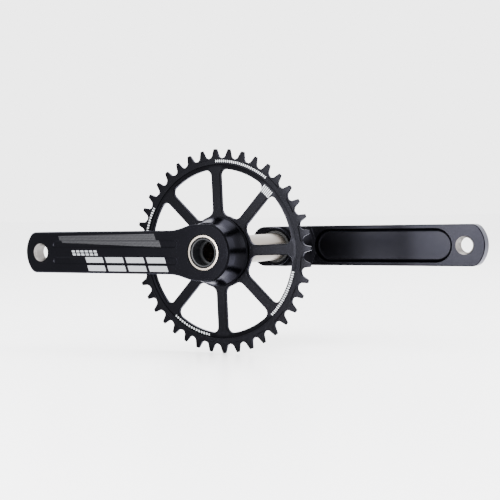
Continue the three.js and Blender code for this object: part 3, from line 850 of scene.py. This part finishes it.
def pedal_tip():
    """Upper half of the arm's end, from its tip back to the straight side."""
    middle = arm_length + tip_reach - tip_radius
    corner_z = half_width - tip_corner
    corner_x = middle + math.sqrt((tip_radius - tip_corner) ** 2 - corner_z ** 2)
    meet = math.atan2(corner_z, corner_x - middle)
    return (
        arc(middle, 0, tip_radius, 0, meet, 10)[:-1]
        + arc(corner_x, corner_z, tip_corner, meet, math.pi / 2, 12)
    )


def straight(start, end, steps):
    """Points along the arm's upper side, without the two ends."""
    return [(start + (end - start) * i / steps, half_width) for i in range(1, steps)]


def bezier(a, b, c, d, steps):
    """Points of a cubic curve between a and d."""
    points = []
    for i in range(steps + 1):
        t = i / steps
        u = 1 - t
        points.append(tuple(
            u ** 3 * p + 3 * u * u * t * q + 3 * u * t * t * r + t ** 3 * s
            for p, q, r, s in zip(a, b, c, d)
        ))
    return points


def arm_slab(name, upper, front, back, material):
    """A flat arm through its upper half outline and the mirror of that. back gives y from x."""
    mirrored = [(x, -z) for x, z in upper[::-1] if z > 1e-9]
    outline = upper + mirrored
    rings = []
    for grow, depth in face_ease:
        rings.append([(x, front - depth * mm, z) for x, z in inset(outline, grow * mm)])
    for grow, depth in back_ease:
        rings.append([(x, back(x) + depth * mm, z) for x, z in inset(outline, grow * mm)])
    count = len(outline)
    vertices = [p for ring in rings for p in ring]
    faces = walls(count, len(rings))
    last = (len(rings) - 1) * count
    first = 1 if upper[0][1] < 1e-9 else 0
    for base in (0, last):
        rungs = [(base + i, base + count - i - (0 if first else 1)) for i in range(first, len(upper))]
        rungs = [rung for rung in rungs if rung[0] < rung[1]]
        if first:
            faces.append((base, rungs[0][0], rungs[0][1]))
        for (a, b), (c, d) in zip(rungs, rungs[1:]):
            faces.append((a, c, d, b))
        if rungs[-1][1] - rungs[-1][0] == 2:
            faces.append((rungs[-1][0], rungs[-1][0] + 1, rungs[-1][1]))
    return close_normals(link_mesh(name, vertices, faces, material))


def stadium(start, end, radius, grow=0.0):
    """Outline of a slot with round ends along the X axis."""
    return (
        arc(end - radius, 0, radius + grow, -math.pi / 2, math.pi / 2, 24)
        + arc(start + radius, 0, radius + grow, math.pi / 2, 3 * math.pi / 2, 24)
    )


def arm_pocket(start, floor, mouth, material):
    """Tool for the inner recess: eased mouth, leaning walls and a rounded foot."""
    grown = pocket_draft * (floor - mouth) / pocket_depth
    levels = [
        (grown + 1.0 * mm, mouth - 0.6 * mm),
        (grown + 0.4 * mm, mouth),
        (grown, mouth + 0.4 * mm),
    ]
    for a in (0, 0.4, 0.8, 1.2, math.pi / 2):
        lift = pocket_fillet * (1 - math.sin(a))
        lean = pocket_draft * lift / pocket_depth
        levels.append((lean - pocket_fillet * (1 - math.cos(a)), floor - lift))
    return loft("pocket", [
        [(x, y, z) for x, z in stadium(start, pocket_end, pocket_half_width, grow)]
        for grow, y in levels
    ], material)


def face_channel(middle, material):
    """Tool for one shallow channel along the outer face."""
    return loft("channel", [
        [(x, y, z + middle) for x, z in stadium(channel_ends[0], channel_ends[1], channel_half, grow)]
        for grow, y in (
            (0.25 * mm, outer_face + 0.2 * mm),
            (0, outer_face - 0.05 * mm),
            (-0.9 * mm, outer_face - channel_depth + 0.04 * mm),
            (-1.3 * mm, outer_face - channel_depth),
        )
    ], material)


def pedal_thread(hand, inner, material):
    """Tool for a threaded hole with coned mouths: a tube whose radius follows the helix."""
    steps, rows = 72, 8
    low, high = inner - 1 * mm, outer_face + 1 * mm
    count = int((high - low) / thread_pitch * rows)
    rings = []
    for i in range(count + 1):
        y = low + (high - low) * i / count
        mouth = max(inner - y, y - outer_face) + pedal_mouth
        ring = []
        for k in range(steps):
            a = 2 * math.pi * k / steps
            turn = (y / thread_pitch + hand * k / steps) % 1
            crest = pedal_hole - thread_depth * min(1, max(0, 1.4 - abs(turn - 0.5) * 4))
            radius = max(crest, min(mouth, pedal_mouth))
            ring.append((arm_length + radius * math.cos(a), y, radius * math.sin(a)))
        rings.append(ring)
    return loft("thread", rings, material)


def drive_half():
    """Upper half of the drive arm's outline, from the tip to the far side of the boss."""
    start = math.acos(flare_start / boss_radius)
    root = (flare_start + flare_length, half_width)
    flare = bezier(
        root,
        (root[0] - flare_length * 0.45, half_width),
        (flare_start + flare_length * 0.3, boss_flat),
        (flare_start, boss_flat),
        12,
    )
    tip = pedal_tip()
    side = straight(tip[-1][0], arm_length - tip_reach, 3) + [(arm_length - tip_reach, half_width)]
    side += straight(arm_length - tip_reach, root[0], 16)
    boss = [(x, min(z, boss_flat)) for x, z in arc(0, 0, boss_radius, start, math.pi, 36)[1:]]
    return tip + side + flare + boss


def drive_back(x):
    """Height of the drive arm's back at x: parallel at the root, then leaning to the pedal end."""
    root = flare_start + flare_length
    share = min(1, max(0, (x - root) / (arm_length - tip_reach - root)))
    return outer_face - root_thickness + (root_thickness - arm_thickness) * share


drive_arm = arm_slab("drive_arm_forging", drive_half(), outer_face, drive_back, drive_finish)
skirt_top = outer_face - skirt_start
skirt_foot = flange_back + flange_edge
skirt_rise = flange_radius - 1 * mm - boss_radius
hub_profile = [
    (0, shoulder_face + drive_seal_depth),
    (drive_seal_recess, shoulder_face + drive_seal_depth),
    (drive_seal_recess, shoulder_face),
    (shoulder_radius - 0.3 * mm, shoulder_face),
    (shoulder_radius, shoulder_face + 0.3 * mm),
    (shoulder_radius, flange_back),
    (flange_radius - 0.3 * mm, flange_back),
    (flange_radius, flange_back + 0.3 * mm),
    (flange_radius, skirt_foot - 0.25 * mm),
    (flange_radius - 0.15 * mm, skirt_foot),
    (flange_radius - 0.9 * mm, skirt_foot + 0.75 * mm),
]
for i in range(17):
    t = 1 - i / 16
    hub_profile.append((
        boss_radius - 0.12 * mm + (skirt_rise + 0.1 * mm) * t * t,
        skirt_top + (skirt_foot + 1 * mm - skirt_top) * t,
    ))
hub_profile += [(boss_radius - 0.6 * mm, skirt_top + 1 * mm), (0, skirt_top + 1 * mm)]
combine(drive_arm, lathe("hub", hub_profile, 144, drive_finish), "UNION")
combine(drive_arm, lathe("bore", [
    (0, bore_start),
    (spindle_bore, bore_start),
    (spindle_bore, outer_face - head_bore_length - (head_bore - spindle_bore)),
    (head_bore, outer_face - head_bore_length),
    (head_bore, outer_face - 0.35 * mm),
    (head_bore + 0.35 * mm, outer_face),
    (head_bore + 0.35 * mm, outer_face + 1 * mm),
    (0, outer_face + 1 * mm),
], 144, drive_finish), "DIFFERENCE")
drive_pocket = arm_pocket(
    drive_pocket_start,
    outer_face - arm_thickness + pocket_depth,
    outer_face - root_thickness + 0.6 * mm,
    drive_finish,
)
combine(drive_arm, drive_pocket, "DIFFERENCE")
for middle in (-channel_offset, channel_offset):
    combine(drive_arm, face_channel(middle, drive_finish), "DIFFERENCE")
combine(drive_arm, pedal_thread(1, outer_face - arm_thickness, thread_finish), "DIFFERENCE")
drive_arm.data.transform(Matrix.Rotation(math.pi, 4, "Z"))
smooth(drive_arm, 32)
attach(drive_arm, "drive_side")
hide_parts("drive_arm")


# ---------------------------------------------------------------------------------------------
# Spindle: a hollow steel axle, ground all along, with a wide head pressed into the drive arm and
# 24 rolled splines for the left one, one of them cut away for the safety plate's hook.
axle_low, axle_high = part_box("spindle")
axle_radius = 12 * mm
axle_bore = 9.5 * mm
axle_head = axle_low.y
axle_end = axle_high.y
spline_length = 27 * mm
head_radius = axle_high.z
head_length = 16.2 * mm
head_bore_radius = 11.85 * mm
head_bore_depth = 14 * mm
head_mouth = 0.9 * mm
spline_start = axle_end - spline_length
spline_count = 24
spline_depth = 0.8 * mm
key_half_width = 1.4 * mm
key_depth = 1.6 * mm
key_start = spline_start + 8 * mm
steel_colour = "#827B73"
steel_dark = "#68625C"
# Near black painted into the spindle's bore as shade for the deep hole, not the steel's own colour.
bore_shade_black = "#0A0A0B"
grinding_mark = 0.5 * mm          # a wheel's scratches 0.05 mm apart, drawn coarser so that they show


def ground_steel(name):
    """Ground steel: warm grey metal with fine scratches running round the axle."""
    made, tree = new_material(name)
    place = node(tree, "ShaderNodeTexCoord").outputs["Object"]
    rings = node(tree, "ShaderNodeVectorMath", {0: place, 1: (0.04, 1, 0.04)}, operation="MULTIPLY")
    scratch = node(tree, "ShaderNodeTexNoise", {
        "Vector": rings.outputs[0],
        "Scale": 1 / grinding_mark,
        "Detail": 4,
    })
    tint = node(tree, "ShaderNodeMix", {
        "Factor": scratch.outputs[0],
        6: linear(steel_dark),
        7: linear(steel_colour),
    }, data_type="RGBA")
    rough = node(tree, "ShaderNodeMapRange", {
        "Value": scratch.outputs[0],
        "To Min": 0.24,
        "To Max": 0.42,
    })
    bump = node(tree, "ShaderNodeBump", {
        "Height": scratch.outputs[0],
        "Strength": 0.12,
        "Distance": 0.02 * mm,
    })
    shader = node(tree, "ShaderNodeBsdfPrincipled", {
        "Base Color": tint.outputs["Result"],
        "Metallic": 1.0,
        "Roughness": rough.outputs[0],
        "Normal": bump.outputs[0],
    })
    node(tree, "ShaderNodeOutputMaterial", {"Surface": shader.outputs[0]})
    return made


def painted_shade_bore(name):
    """Painted shade for the spindle's bore: near black and dull, with hardly any shine, standing in for
    the shade inside the hole.
    """
    made, tree = new_material(name)
    shader = node(tree, "ShaderNodeBsdfPrincipled", {
        "Base Color": linear(bore_shade_black),
        "Roughness": 0.8,
        "IOR": 1.45,
        "Specular IOR Level": 0.1,
    })
    node(tree, "ShaderNodeOutputMaterial", {"Surface": shader.outputs[0]})
    return made


axle_finish = ground_steel("ground steel axle")
# The bore's material is painted shade, not a finish of the steel.
bore_painted_shade = painted_shade_bore("near-black painted shade in the bore")
axle_root = axle_radius - spline_depth
spindle = lathe("hollow_spindle", [
    (axle_bore, axle_head + head_bore_depth + head_bore_radius - axle_bore),
    (head_bore_radius, axle_head + head_bore_depth),
    (head_bore_radius, axle_head + head_mouth),
    (head_bore_radius + head_mouth, axle_head),
    (head_radius - 0.4 * mm, axle_head),
    (head_radius - 0.1 * mm, axle_head + 0.1 * mm),
    (head_radius, axle_head + 0.4 * mm),
    (head_radius, axle_head + head_length),
    (axle_radius, axle_head + head_length + head_radius - axle_radius),
    (axle_radius, spline_start),
    (axle_root, spline_start + spline_depth),
    (axle_root, axle_end - 0.4 * mm),
    (axle_root - 0.4 * mm, axle_end),
    (axle_bore + 0.3 * mm, axle_end),
    (axle_bore, axle_end - 0.3 * mm),
], 144, axle_finish)
spline_half = math.pi / spline_count / 2
ridge = loft("ridge", [
    [
        (r * math.cos(a), y, r * math.sin(a))
        for r, a in (
            (axle_root - 0.4 * mm, -spline_half * 1.2),
            (axle_radius - drop, -spline_half * 0.7),
            (axle_radius - drop, 0),
            (axle_radius - drop, spline_half * 0.7),
            (axle_root - 0.4 * mm, spline_half * 1.2),
        )
    ]
    for y, drop in (
        (spline_start - 1 * mm, 0.9 * mm),
        (spline_start + 0.4 * mm, 0.02 * mm),
        (axle_end - 1.6 * mm, 0.02 * mm),
        (axle_end - 0.8 * mm, 0.9 * mm),
    )
], axle_finish)
combine(spindle, repeat(ridge, spline_count), "UNION")
combine(spindle, loft("key", [
    [(x, y, z) for x, z in (
        (-axle_radius - 1 * mm, -key_half_width),
        (-axle_radius + key_depth, -key_half_width),
        (-axle_radius + key_depth, key_half_width),
        (-axle_radius - 1 * mm, key_half_width),
    )]
    for y in (key_start, axle_end + 1 * mm)
], axle_finish), "DIFFERENCE")
# Faces inside the head's bore take the near-black painted shade, so the hole reads dark.
spindle.data.materials.append(bore_painted_shade)
for face in spindle.data.polygons:
    inside = math.hypot(face.center.x, face.center.z) < head_bore_radius + head_mouth * 0.6
    if inside and face.center.y < axle_head + head_bore_depth + 3 * mm:
        face.material_index = 1
smooth(spindle, 32)
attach(spindle, "drive_side")
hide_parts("spindle")


# ---------------------------------------------------------------------------------------------
# Bore liner: a thin black nylon cup pushed into the spindle's head, open in the middle.
liner_low, liner_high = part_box("bore_liner")
liner_radius = liner_high.x
liner_wall = 1 * mm
liner_hole = 8.6 * mm
nylon_black = "#101113"
nylon_grey = "#17181A"


def moulded_nylon(name, roughness):
    """Moulded black nylon: plastic with a soft sheen and a fine spark-eroded grain."""
    made, tree = new_material(name)
    place = node(tree, "ShaderNodeTexCoord").outputs["Object"]
    grain = node(tree, "ShaderNodeTexNoise", {"Vector": place, "Scale": 1 / (0.3 * mm), "Detail": 3})
    tint = node(tree, "ShaderNodeMix", {
        "Factor": grain.outputs[0],
        6: linear(nylon_black),
        7: linear(nylon_grey),
    }, data_type="RGBA")
    bump = node(tree, "ShaderNodeBump", {
        "Height": grain.outputs[0],
        "Strength": 0.3,
        "Distance": 0.04 * mm,
    })
    shader = node(tree, "ShaderNodeBsdfPrincipled", {
        "Base Color": tint.outputs["Result"],
        "Roughness": roughness,
        "IOR": 1.53,
        "Specular IOR Level": 0.1,
        "Normal": bump.outputs[0],
    })
    node(tree, "ShaderNodeOutputMaterial", {"Surface": shader.outputs[0]})
    return made


plastic_finish = moulded_nylon("moulded black nylon", 0.46)
liner = smooth(lathe("spindle_bore_liner", [
    (liner_radius - liner_wall, liner_low.y + 0.15 * mm),
    (liner_radius - liner_wall / 2, liner_low.y),
    (liner_radius - 0.2 * mm, liner_low.y),
    (liner_radius, liner_low.y + 0.2 * mm),
    (liner_radius, liner_high.y),
    (liner_hole, liner_high.y),
    (liner_hole, liner_high.y - liner_wall + 0.2 * mm),
    (liner_hole + 0.2 * mm, liner_high.y - liner_wall),
    (liner_radius - liner_wall - 0.5 * mm, liner_high.y - liner_wall),
    (liner_radius - liner_wall, liner_high.y - liner_wall - 0.5 * mm),
], 96, plastic_finish), 35)
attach(liner, "drive_side")
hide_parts("bore_liner")


# ---------------------------------------------------------------------------------------------
# Bearing seals: two flat rubber rings with a lip, in the recesses round the spindle that face the
# bottom bracket. They go with the arm that holds them.
rubber_black = "#0E0E0F"


def moulded_rubber(name):
    """Moulded nitrile rubber: black and matt, faintly uneven."""
    made, tree = new_material(name)
    place = node(tree, "ShaderNodeTexCoord").outputs["Object"]
    skin = node(tree, "ShaderNodeTexNoise", {"Vector": place, "Scale": 1 / (0.8 * mm), "Detail": 3})
    rough = node(tree, "ShaderNodeMapRange", {"Value": skin.outputs[0], "To Min": 0.62, "To Max": 0.8})
    bump = node(tree, "ShaderNodeBump", {
        "Height": skin.outputs[0],
        "Strength": 0.2,
        "Distance": 0.05 * mm,
    })
    shader = node(tree, "ShaderNodeBsdfPrincipled", {
        "Base Color": linear(rubber_black),
        "Roughness": rough.outputs[0],
        "IOR": 1.52,
        "Normal": bump.outputs[0],
    })
    node(tree, "ShaderNodeOutputMaterial", {"Surface": shader.outputs[0]})
    return made


rubber_finish = moulded_rubber("moulded nitrile rubber")
for cad_name, name, body, towards in (
    ("drive_side_seal", "drive_side_bearing_seal", "drive_side", 1),
    ("left_side_seal", "left_side_bearing_seal", "left_arm", -1),
):
    low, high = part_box(cad_name)
    face, foot = (high.y, low.y) if towards > 0 else (low.y, high.y)
    outer = high.x
    seal = smooth(lathe(name, [
        (spindle_bore + 0.15 * mm, foot),
        (outer - 0.1 * mm, foot),
        (outer, foot + towards * 0.1 * mm),
        (outer, face - towards * 0.3 * mm),
        (outer - 0.3 * mm, face),
        (outer - 0.8 * mm, face),
        (outer - 1.0 * mm, face - towards * 0.3 * mm),
        (spindle_bore + 0.6 * mm, face - towards * 0.3 * mm),
        (spindle_bore + 0.3 * mm, face),
        (spindle_bore, face),
        (spindle_bore, face - towards * 0.4 * mm),
    ], 96, rubber_finish), 40)
    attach(seal, body)
    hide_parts(cad_name)


# ---------------------------------------------------------------------------------------------
# Left arm: the same forging without a flange. Its thick end is split, bored for the splines and
# drawn together by two pinch bolts that enter from opposite sides.
left_slab_back = outer_face - arm_thickness
nose_radius = 17.3 * mm
nose_face = left_low.y
clamp_face = nose_face + 3.5 * mm
clamp_end = -left_low.x
clamp_corner = 12 * mm
clamp_reach = 32 * mm
ramp_start = 19 * mm
ramp_end = 29 * mm
left_seal_recess = 14.8 * mm
left_seal_depth = 1.7 * mm
slit_half = 1.2 * mm
cap_hole = 13.9 * mm
cap_hole_floor = 75.3 * mm
pinch_x = -17.3 * mm
pinch_depths = (("upper", 1, outer_face - 22.5 * mm), ("lower", -1, outer_face - 9 * mm))
pinch_hole = 3.3 * mm
pinch_recess = 5.2 * mm
pinch_seat = 9 * mm
pinch_reach = 14.6 * mm
left_pocket_start = 31 * mm

left_finish = soft_black("black anodised aluminium, bead-blasted, left side", 1)
clamp_round = arc(
    clamp_corner - clamp_end, half_width - clamp_corner, clamp_corner,
    math.pi / 2, math.pi, 16,
)
clamp_side = [(clamp_reach, half_width)] + straight(clamp_reach, clamp_round[0][0], 8) + clamp_round
tip = pedal_tip()
left_arm = arm_slab(
    "left_arm_forging",
    tip + straight(tip[-1][0], clamp_reach, 18) + clamp_side,
    outer_face,
    lambda x: left_slab_back,
    left_finish,
)
clamp_block = arm_slab(
    "clamp",
    clamp_side,
    outer_face - 3 * mm,
    lambda x: clamp_face,
    left_finish,
)
ramp = [
    (0, clamp_face - 1 * mm),
    (ramp_start - 0.2 * mm, clamp_face - 1 * mm),
    (ramp_start, clamp_face),
    (ramp_start + 0.5 * mm, clamp_face + 0.35 * mm),
]
for t in (0.25, 0.5, 0.75):
    ramp.append((
        ramp_start + (ramp_end - ramp_start) * t + 0.3 * mm,
        clamp_face + (left_slab_back - clamp_face) * t,
    ))
ramp += [
    (ramp_end - 1.2 * mm, left_slab_back - 3.0 * mm),
    (ramp_end - 0.4 * mm, left_slab_back - 1.4 * mm),
    (ramp_end + 0.6 * mm, left_slab_back - 0.5 * mm),
    (ramp_end + 1.9 * mm, left_slab_back),
    (ramp_end + 2.4 * mm, left_slab_back + 1.5 * mm),
    (0, left_slab_back + 1.5 * mm),
]
keep = lathe("keep", ramp, 144, left_finish)
past_x = -clamp_end - 16 * mm
past_z = half_width + 2 * mm
combine(keep, loft("behind", [
    [(x, y, z) for x, z in ((past_x, -past_z), (0, -past_z), (0, past_z), (past_x, past_z))]
    for y in (clamp_face - 2 * mm, left_slab_back + 1.5 * mm)
], left_finish), "UNION")
combine(clamp_block, keep, "INTERSECT")
combine(left_arm, clamp_block, "UNION")
combine(left_arm, lathe("nose", [
    (0, nose_face),
    (nose_radius - 0.6 * mm, nose_face),
    (nose_radius - 0.15 * mm, nose_face + 0.15 * mm),
    (nose_radius, nose_face + 0.6 * mm),
    (nose_radius, clamp_face - 0.5 * mm),
    (nose_radius + 0.5 * mm, clamp_face + 0.2 * mm),
    (0, clamp_face + 1 * mm),
], 144, left_finish), "UNION")
combine(left_arm, lathe("bore", [
    (0, nose_face - 1 * mm),
    (left_seal_recess, nose_face - 1 * mm),
    (left_seal_recess, nose_face + left_seal_depth),
    (spindle_bore, nose_face + left_seal_depth),
    (spindle_bore, cap_hole_floor),
    (cap_hole, cap_hole_floor),
    (cap_hole, outer_face - 0.4 * mm),
    (cap_hole + 0.4 * mm, outer_face),
    (cap_hole + 0.4 * mm, outer_face + 1 * mm),
    (0, outer_face + 1 * mm),
], 144, left_finish), "DIFFERENCE")
left_pocket = arm_pocket(left_pocket_start, left_slab_back + pocket_depth, left_slab_back, left_finish)
combine(left_arm, left_pocket, "DIFFERENCE")
for middle in (-channel_offset, channel_offset):
    combine(left_arm, face_channel(middle, left_finish), "DIFFERENCE")
combine(left_arm, pedal_thread(-1, left_slab_back, thread_finish), "DIFFERENCE")
combine(left_arm, loft("slit", [
    [(x, y, z) for x, z in (
        (-clamp_end - 1 * mm, -slit_half),
        (-axle_radius + 1.6 * mm, -slit_half),
        (-axle_radius + 1.6 * mm, slit_half),
        (-clamp_end - 1 * mm, slit_half),
    )]
    for y in (nose_face - 1 * mm, outer_face + 1 * mm)
], left_finish), "DIFFERENCE")


def upright(piece, x, y, side):
    """Stands a piece turned about the Y axis along Z at (x, y); side -1 turns it head down."""
    lean = Matrix.Rotation(side * math.pi / 2, 4, "X")
    piece.data.transform(Matrix.Translation((x, y, 0)) @ lean)
    return piece


for which, side, y in pinch_depths:
    hole = lathe("pinch hole", [
        (0, -pinch_reach),
        (pinch_hole, -pinch_reach),
        (pinch_hole, pinch_seat),
        (pinch_recess, pinch_seat),
        (pinch_recess, half_width - 0.5 * mm),
        (pinch_recess + 1 * mm, half_width + 0.5 * mm),
        (0, half_width + 0.5 * mm),
    ], 72, left_finish)
    combine(left_arm, upright(hole, pinch_x, y, side), "DIFFERENCE")
smooth(left_arm, 32)
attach(left_arm, "left_arm")
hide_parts("left_arm")


# ---------------------------------------------------------------------------------------------
# Pinch bolts and washers: two M6 socket-head screws in black oxide steel, with rolled threads and
# a knurled head, each on a flat washer at the bottom of its recess.
head_size = 4.9 * mm
head_height = 6 * mm
shank_size = 3 * mm
screw_pitch = 1.0 * mm
screw_end = -14.3 * mm
hex_size = 2.9 * mm
hex_depth = 3.5 * mm
knurl_count = 40
knurl_depth = 0.2 * mm
washer_height = 1.2 * mm
washer_gap = 0.3 * mm
zinc_colour = "#8E9092"


def zinc_steel(name):
    """Zinc-plated steel: pale grey metal, a little cloudy."""
    made, tree = new_material(name)
    place = node(tree, "ShaderNodeTexCoord").outputs["Object"]
    cloud = node(tree, "ShaderNodeTexNoise", {"Vector": place, "Scale": 1 / (1.2 * mm), "Detail": 4})
    rough = node(tree, "ShaderNodeMapRange", {"Value": cloud.outputs[0], "To Min": 0.28, "To Max": 0.5})
    shader = node(tree, "ShaderNodeBsdfPrincipled", {
        "Base Color": linear(zinc_colour),
        "Metallic": 1.0,
        "Roughness": rough.outputs[0],
    })
    node(tree, "ShaderNodeOutputMaterial", {"Surface": shader.outputs[0]})
    return made


washer_finish = zinc_steel("zinc-plated steel washer")
for which, side, y in pinch_depths:
    under = pinch_seat + washer_height + 2 * washer_gap
    top = under + head_height
    profile = [(0, screw_end), (shank_size - 0.6 * mm, screw_end)]
    for i in range(int((under - 4 * mm - screw_end) / screw_pitch)):
        start = screw_end + 0.4 * mm + i * screw_pitch
        profile += [(shank_size, start), (shank_size - 0.45 * mm, start + screw_pitch / 2)]
    profile += [
        (shank_size, under - 3.2 * mm),
        (shank_size, under),
        (head_size - knurl_depth, under),
        (head_size - knurl_depth, top - 0.3 * mm),
        (head_size - knurl_depth - 0.5 * mm, top),
        (0, top),
    ]
    bolt = lathe(f"pinch_screw_{which}", profile, 80, bolt_finish)
    rib_half = math.pi / knurl_count * 0.8
    rib = loft("rib", [
        [
            (r * math.cos(a), level, r * math.sin(a))
            for r, a in (
                (head_size - knurl_depth - 0.3 * mm, -rib_half),
                (head_size - drop, 0),
                (head_size - knurl_depth - 0.3 * mm, rib_half),
            )
        ]
        for level, drop in (
            (under + 0.4 * mm, 0),
            (top - 1.2 * mm, 0),
            (top - 0.9 * mm, knurl_depth + 0.1 * mm),
        )
    ], bolt_finish)
    combine(bolt, repeat(rib, knurl_count), "UNION")
    corners = [(math.cos(math.pi * k / 3), math.sin(math.pi * k / 3)) for k in range(6)]
    socket = loft("hex socket", [
        [(x * size, level, z * size) for x, z in corners]
        for size, level in (
            (hex_size + 0.6 * mm, top + 0.2 * mm),
            (hex_size, top - 0.25 * mm),
            (hex_size, top - hex_depth),
            (hex_size * 0.3, top - hex_depth - 0.9 * mm),
        )
    ], bolt_finish)
    combine(bolt, socket, "DIFFERENCE")
    smooth(upright(bolt, pinch_x, y, side), 32)
    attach(bolt, f"pinch_bolt_{which}")
    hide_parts(f"pinch_bolt_{which}")
    washer = lathe(f"pinch_bolt_washer_{which}", [
        (pinch_hole, pinch_seat + washer_gap),
        (head_size - 0.15 * mm, pinch_seat + washer_gap),
        (head_size, pinch_seat + washer_gap + 0.15 * mm),
        (head_size, pinch_seat + washer_gap + washer_height - 0.15 * mm),
        (head_size - 0.15 * mm, pinch_seat + washer_gap + washer_height),
        (pinch_hole, pinch_seat + washer_gap + washer_height),
    ], 72, washer_finish)
    smooth(upright(washer, pinch_x, y, side), 32)
    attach(washer, "left_arm")
    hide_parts(f"pinch_washer_{which}")


# ---------------------------------------------------------------------------------------------
# Safety plate: a moulded nylon tongue in the clamp's slit, held by the outer pinch bolt, with a
# hook in the spindle's key slot that stops the arm from walking off.
plate_finish = moulded_nylon("moulded black nylon, plate", 0.5)
for slot in frame["nodes"]["safety_plate"].material_slots:
    slot.material = plate_finish


# ---------------------------------------------------------------------------------------------
# Preload cap and O-ring: a moulded nylon cap screwed into the spindle's end to draw the left arm
# up against the bearings, turned by eight lobes in its recess, with a rubber ring under its rim.
cap_low, cap_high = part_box("preload_cap")
cap_radius = cap_high.x
cap_top = cap_high.y
cap_seat = cap_top - 2.4 * mm
cap_plug = axle_bore - 0.3 * mm
cap_recess = cap_plug - 2 * mm
cap_recess_depth = 7 * mm
cap_lobe = 1.1 * mm
cap_thread_pitch = 1.5 * mm
cap_thread_turns = 5
cap_lobe_count = 8
cap_profile = [(0, cap_low.y), (cap_plug - 0.8 * mm, cap_low.y)]
for i in range(cap_thread_turns):
    start = cap_low.y + 0.5 * mm + i * cap_thread_pitch
    cap_profile += [
        (cap_plug, start),
        (cap_plug, start + cap_thread_pitch * 0.2),
        (cap_plug - 0.6 * mm, start + cap_thread_pitch * 0.5),
        (cap_plug - 0.6 * mm, start + cap_thread_pitch * 0.7),
    ]
cap_profile += [
    (cap_plug - 0.4 * mm, cap_seat),
    (cap_radius - 0.4 * mm, cap_seat),
    (cap_radius, cap_seat + 0.4 * mm),
    (cap_radius, cap_top - 0.9 * mm),
    (cap_radius - 0.27 * mm, cap_top - 0.27 * mm),
    (cap_radius - 0.9 * mm, cap_top),
    (cap_recess + 3.2 * mm, cap_top),
    (cap_recess + 2.9 * mm, cap_top - 0.3 * mm),
    (cap_recess + 2.3 * mm, cap_top - 0.3 * mm),
    (cap_recess + 2.0 * mm, cap_top),
    (0, cap_top),
]
cap = lathe("preload_cap_nylon", cap_profile, 120, plastic_finish)
combine(cap, lathe("recess", [
    (0, cap_top - cap_recess_depth),
    (cap_recess - 0.5 * mm, cap_top - cap_recess_depth),
    (cap_recess, cap_top - cap_recess_depth + 0.5 * mm),
    (cap_recess, cap_top - 0.3 * mm),
    (cap_recess + 0.4 * mm, cap_top + 0.1 * mm),
    (0, cap_top + 0.1 * mm),
], 96, plastic_finish), "DIFFERENCE")
lobe = lathe("lobe", [
    (0, cap_top - cap_recess_depth + 0.02 * mm),
    (cap_lobe, cap_top - cap_recess_depth + 0.02 * mm),
    (cap_lobe, cap_top - 0.25 * mm),
    (cap_lobe + 0.3 * mm, cap_top + 0.12 * mm),
    (0, cap_top + 0.12 * mm),
], 24, plastic_finish, x=cap_recess)
combine(cap, repeat(lobe, cap_lobe_count), "DIFFERENCE")
smooth(cap, 35)
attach(cap, "preload_cap")
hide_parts("preload_cap")

o_ring_low, o_ring_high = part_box("cap_o_ring")
o_ring_half = (o_ring_high.y - o_ring_low.y) / 2
o_ring_wall = 0.4 * mm
o_ring = smooth(lathe("cap_rubber_ring", [
    (
        o_ring_high.x - o_ring_wall + o_ring_wall * math.cos(2 * math.pi * k / 16),
        o_ring_low.y + o_ring_half + o_ring_half * math.sin(2 * math.pi * k / 16),
    )
    for k in range(16)
], 96, rubber_finish), 60)
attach(o_ring, frame["nodes"]["cap_o_ring"]["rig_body"])
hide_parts("cap_o_ring")
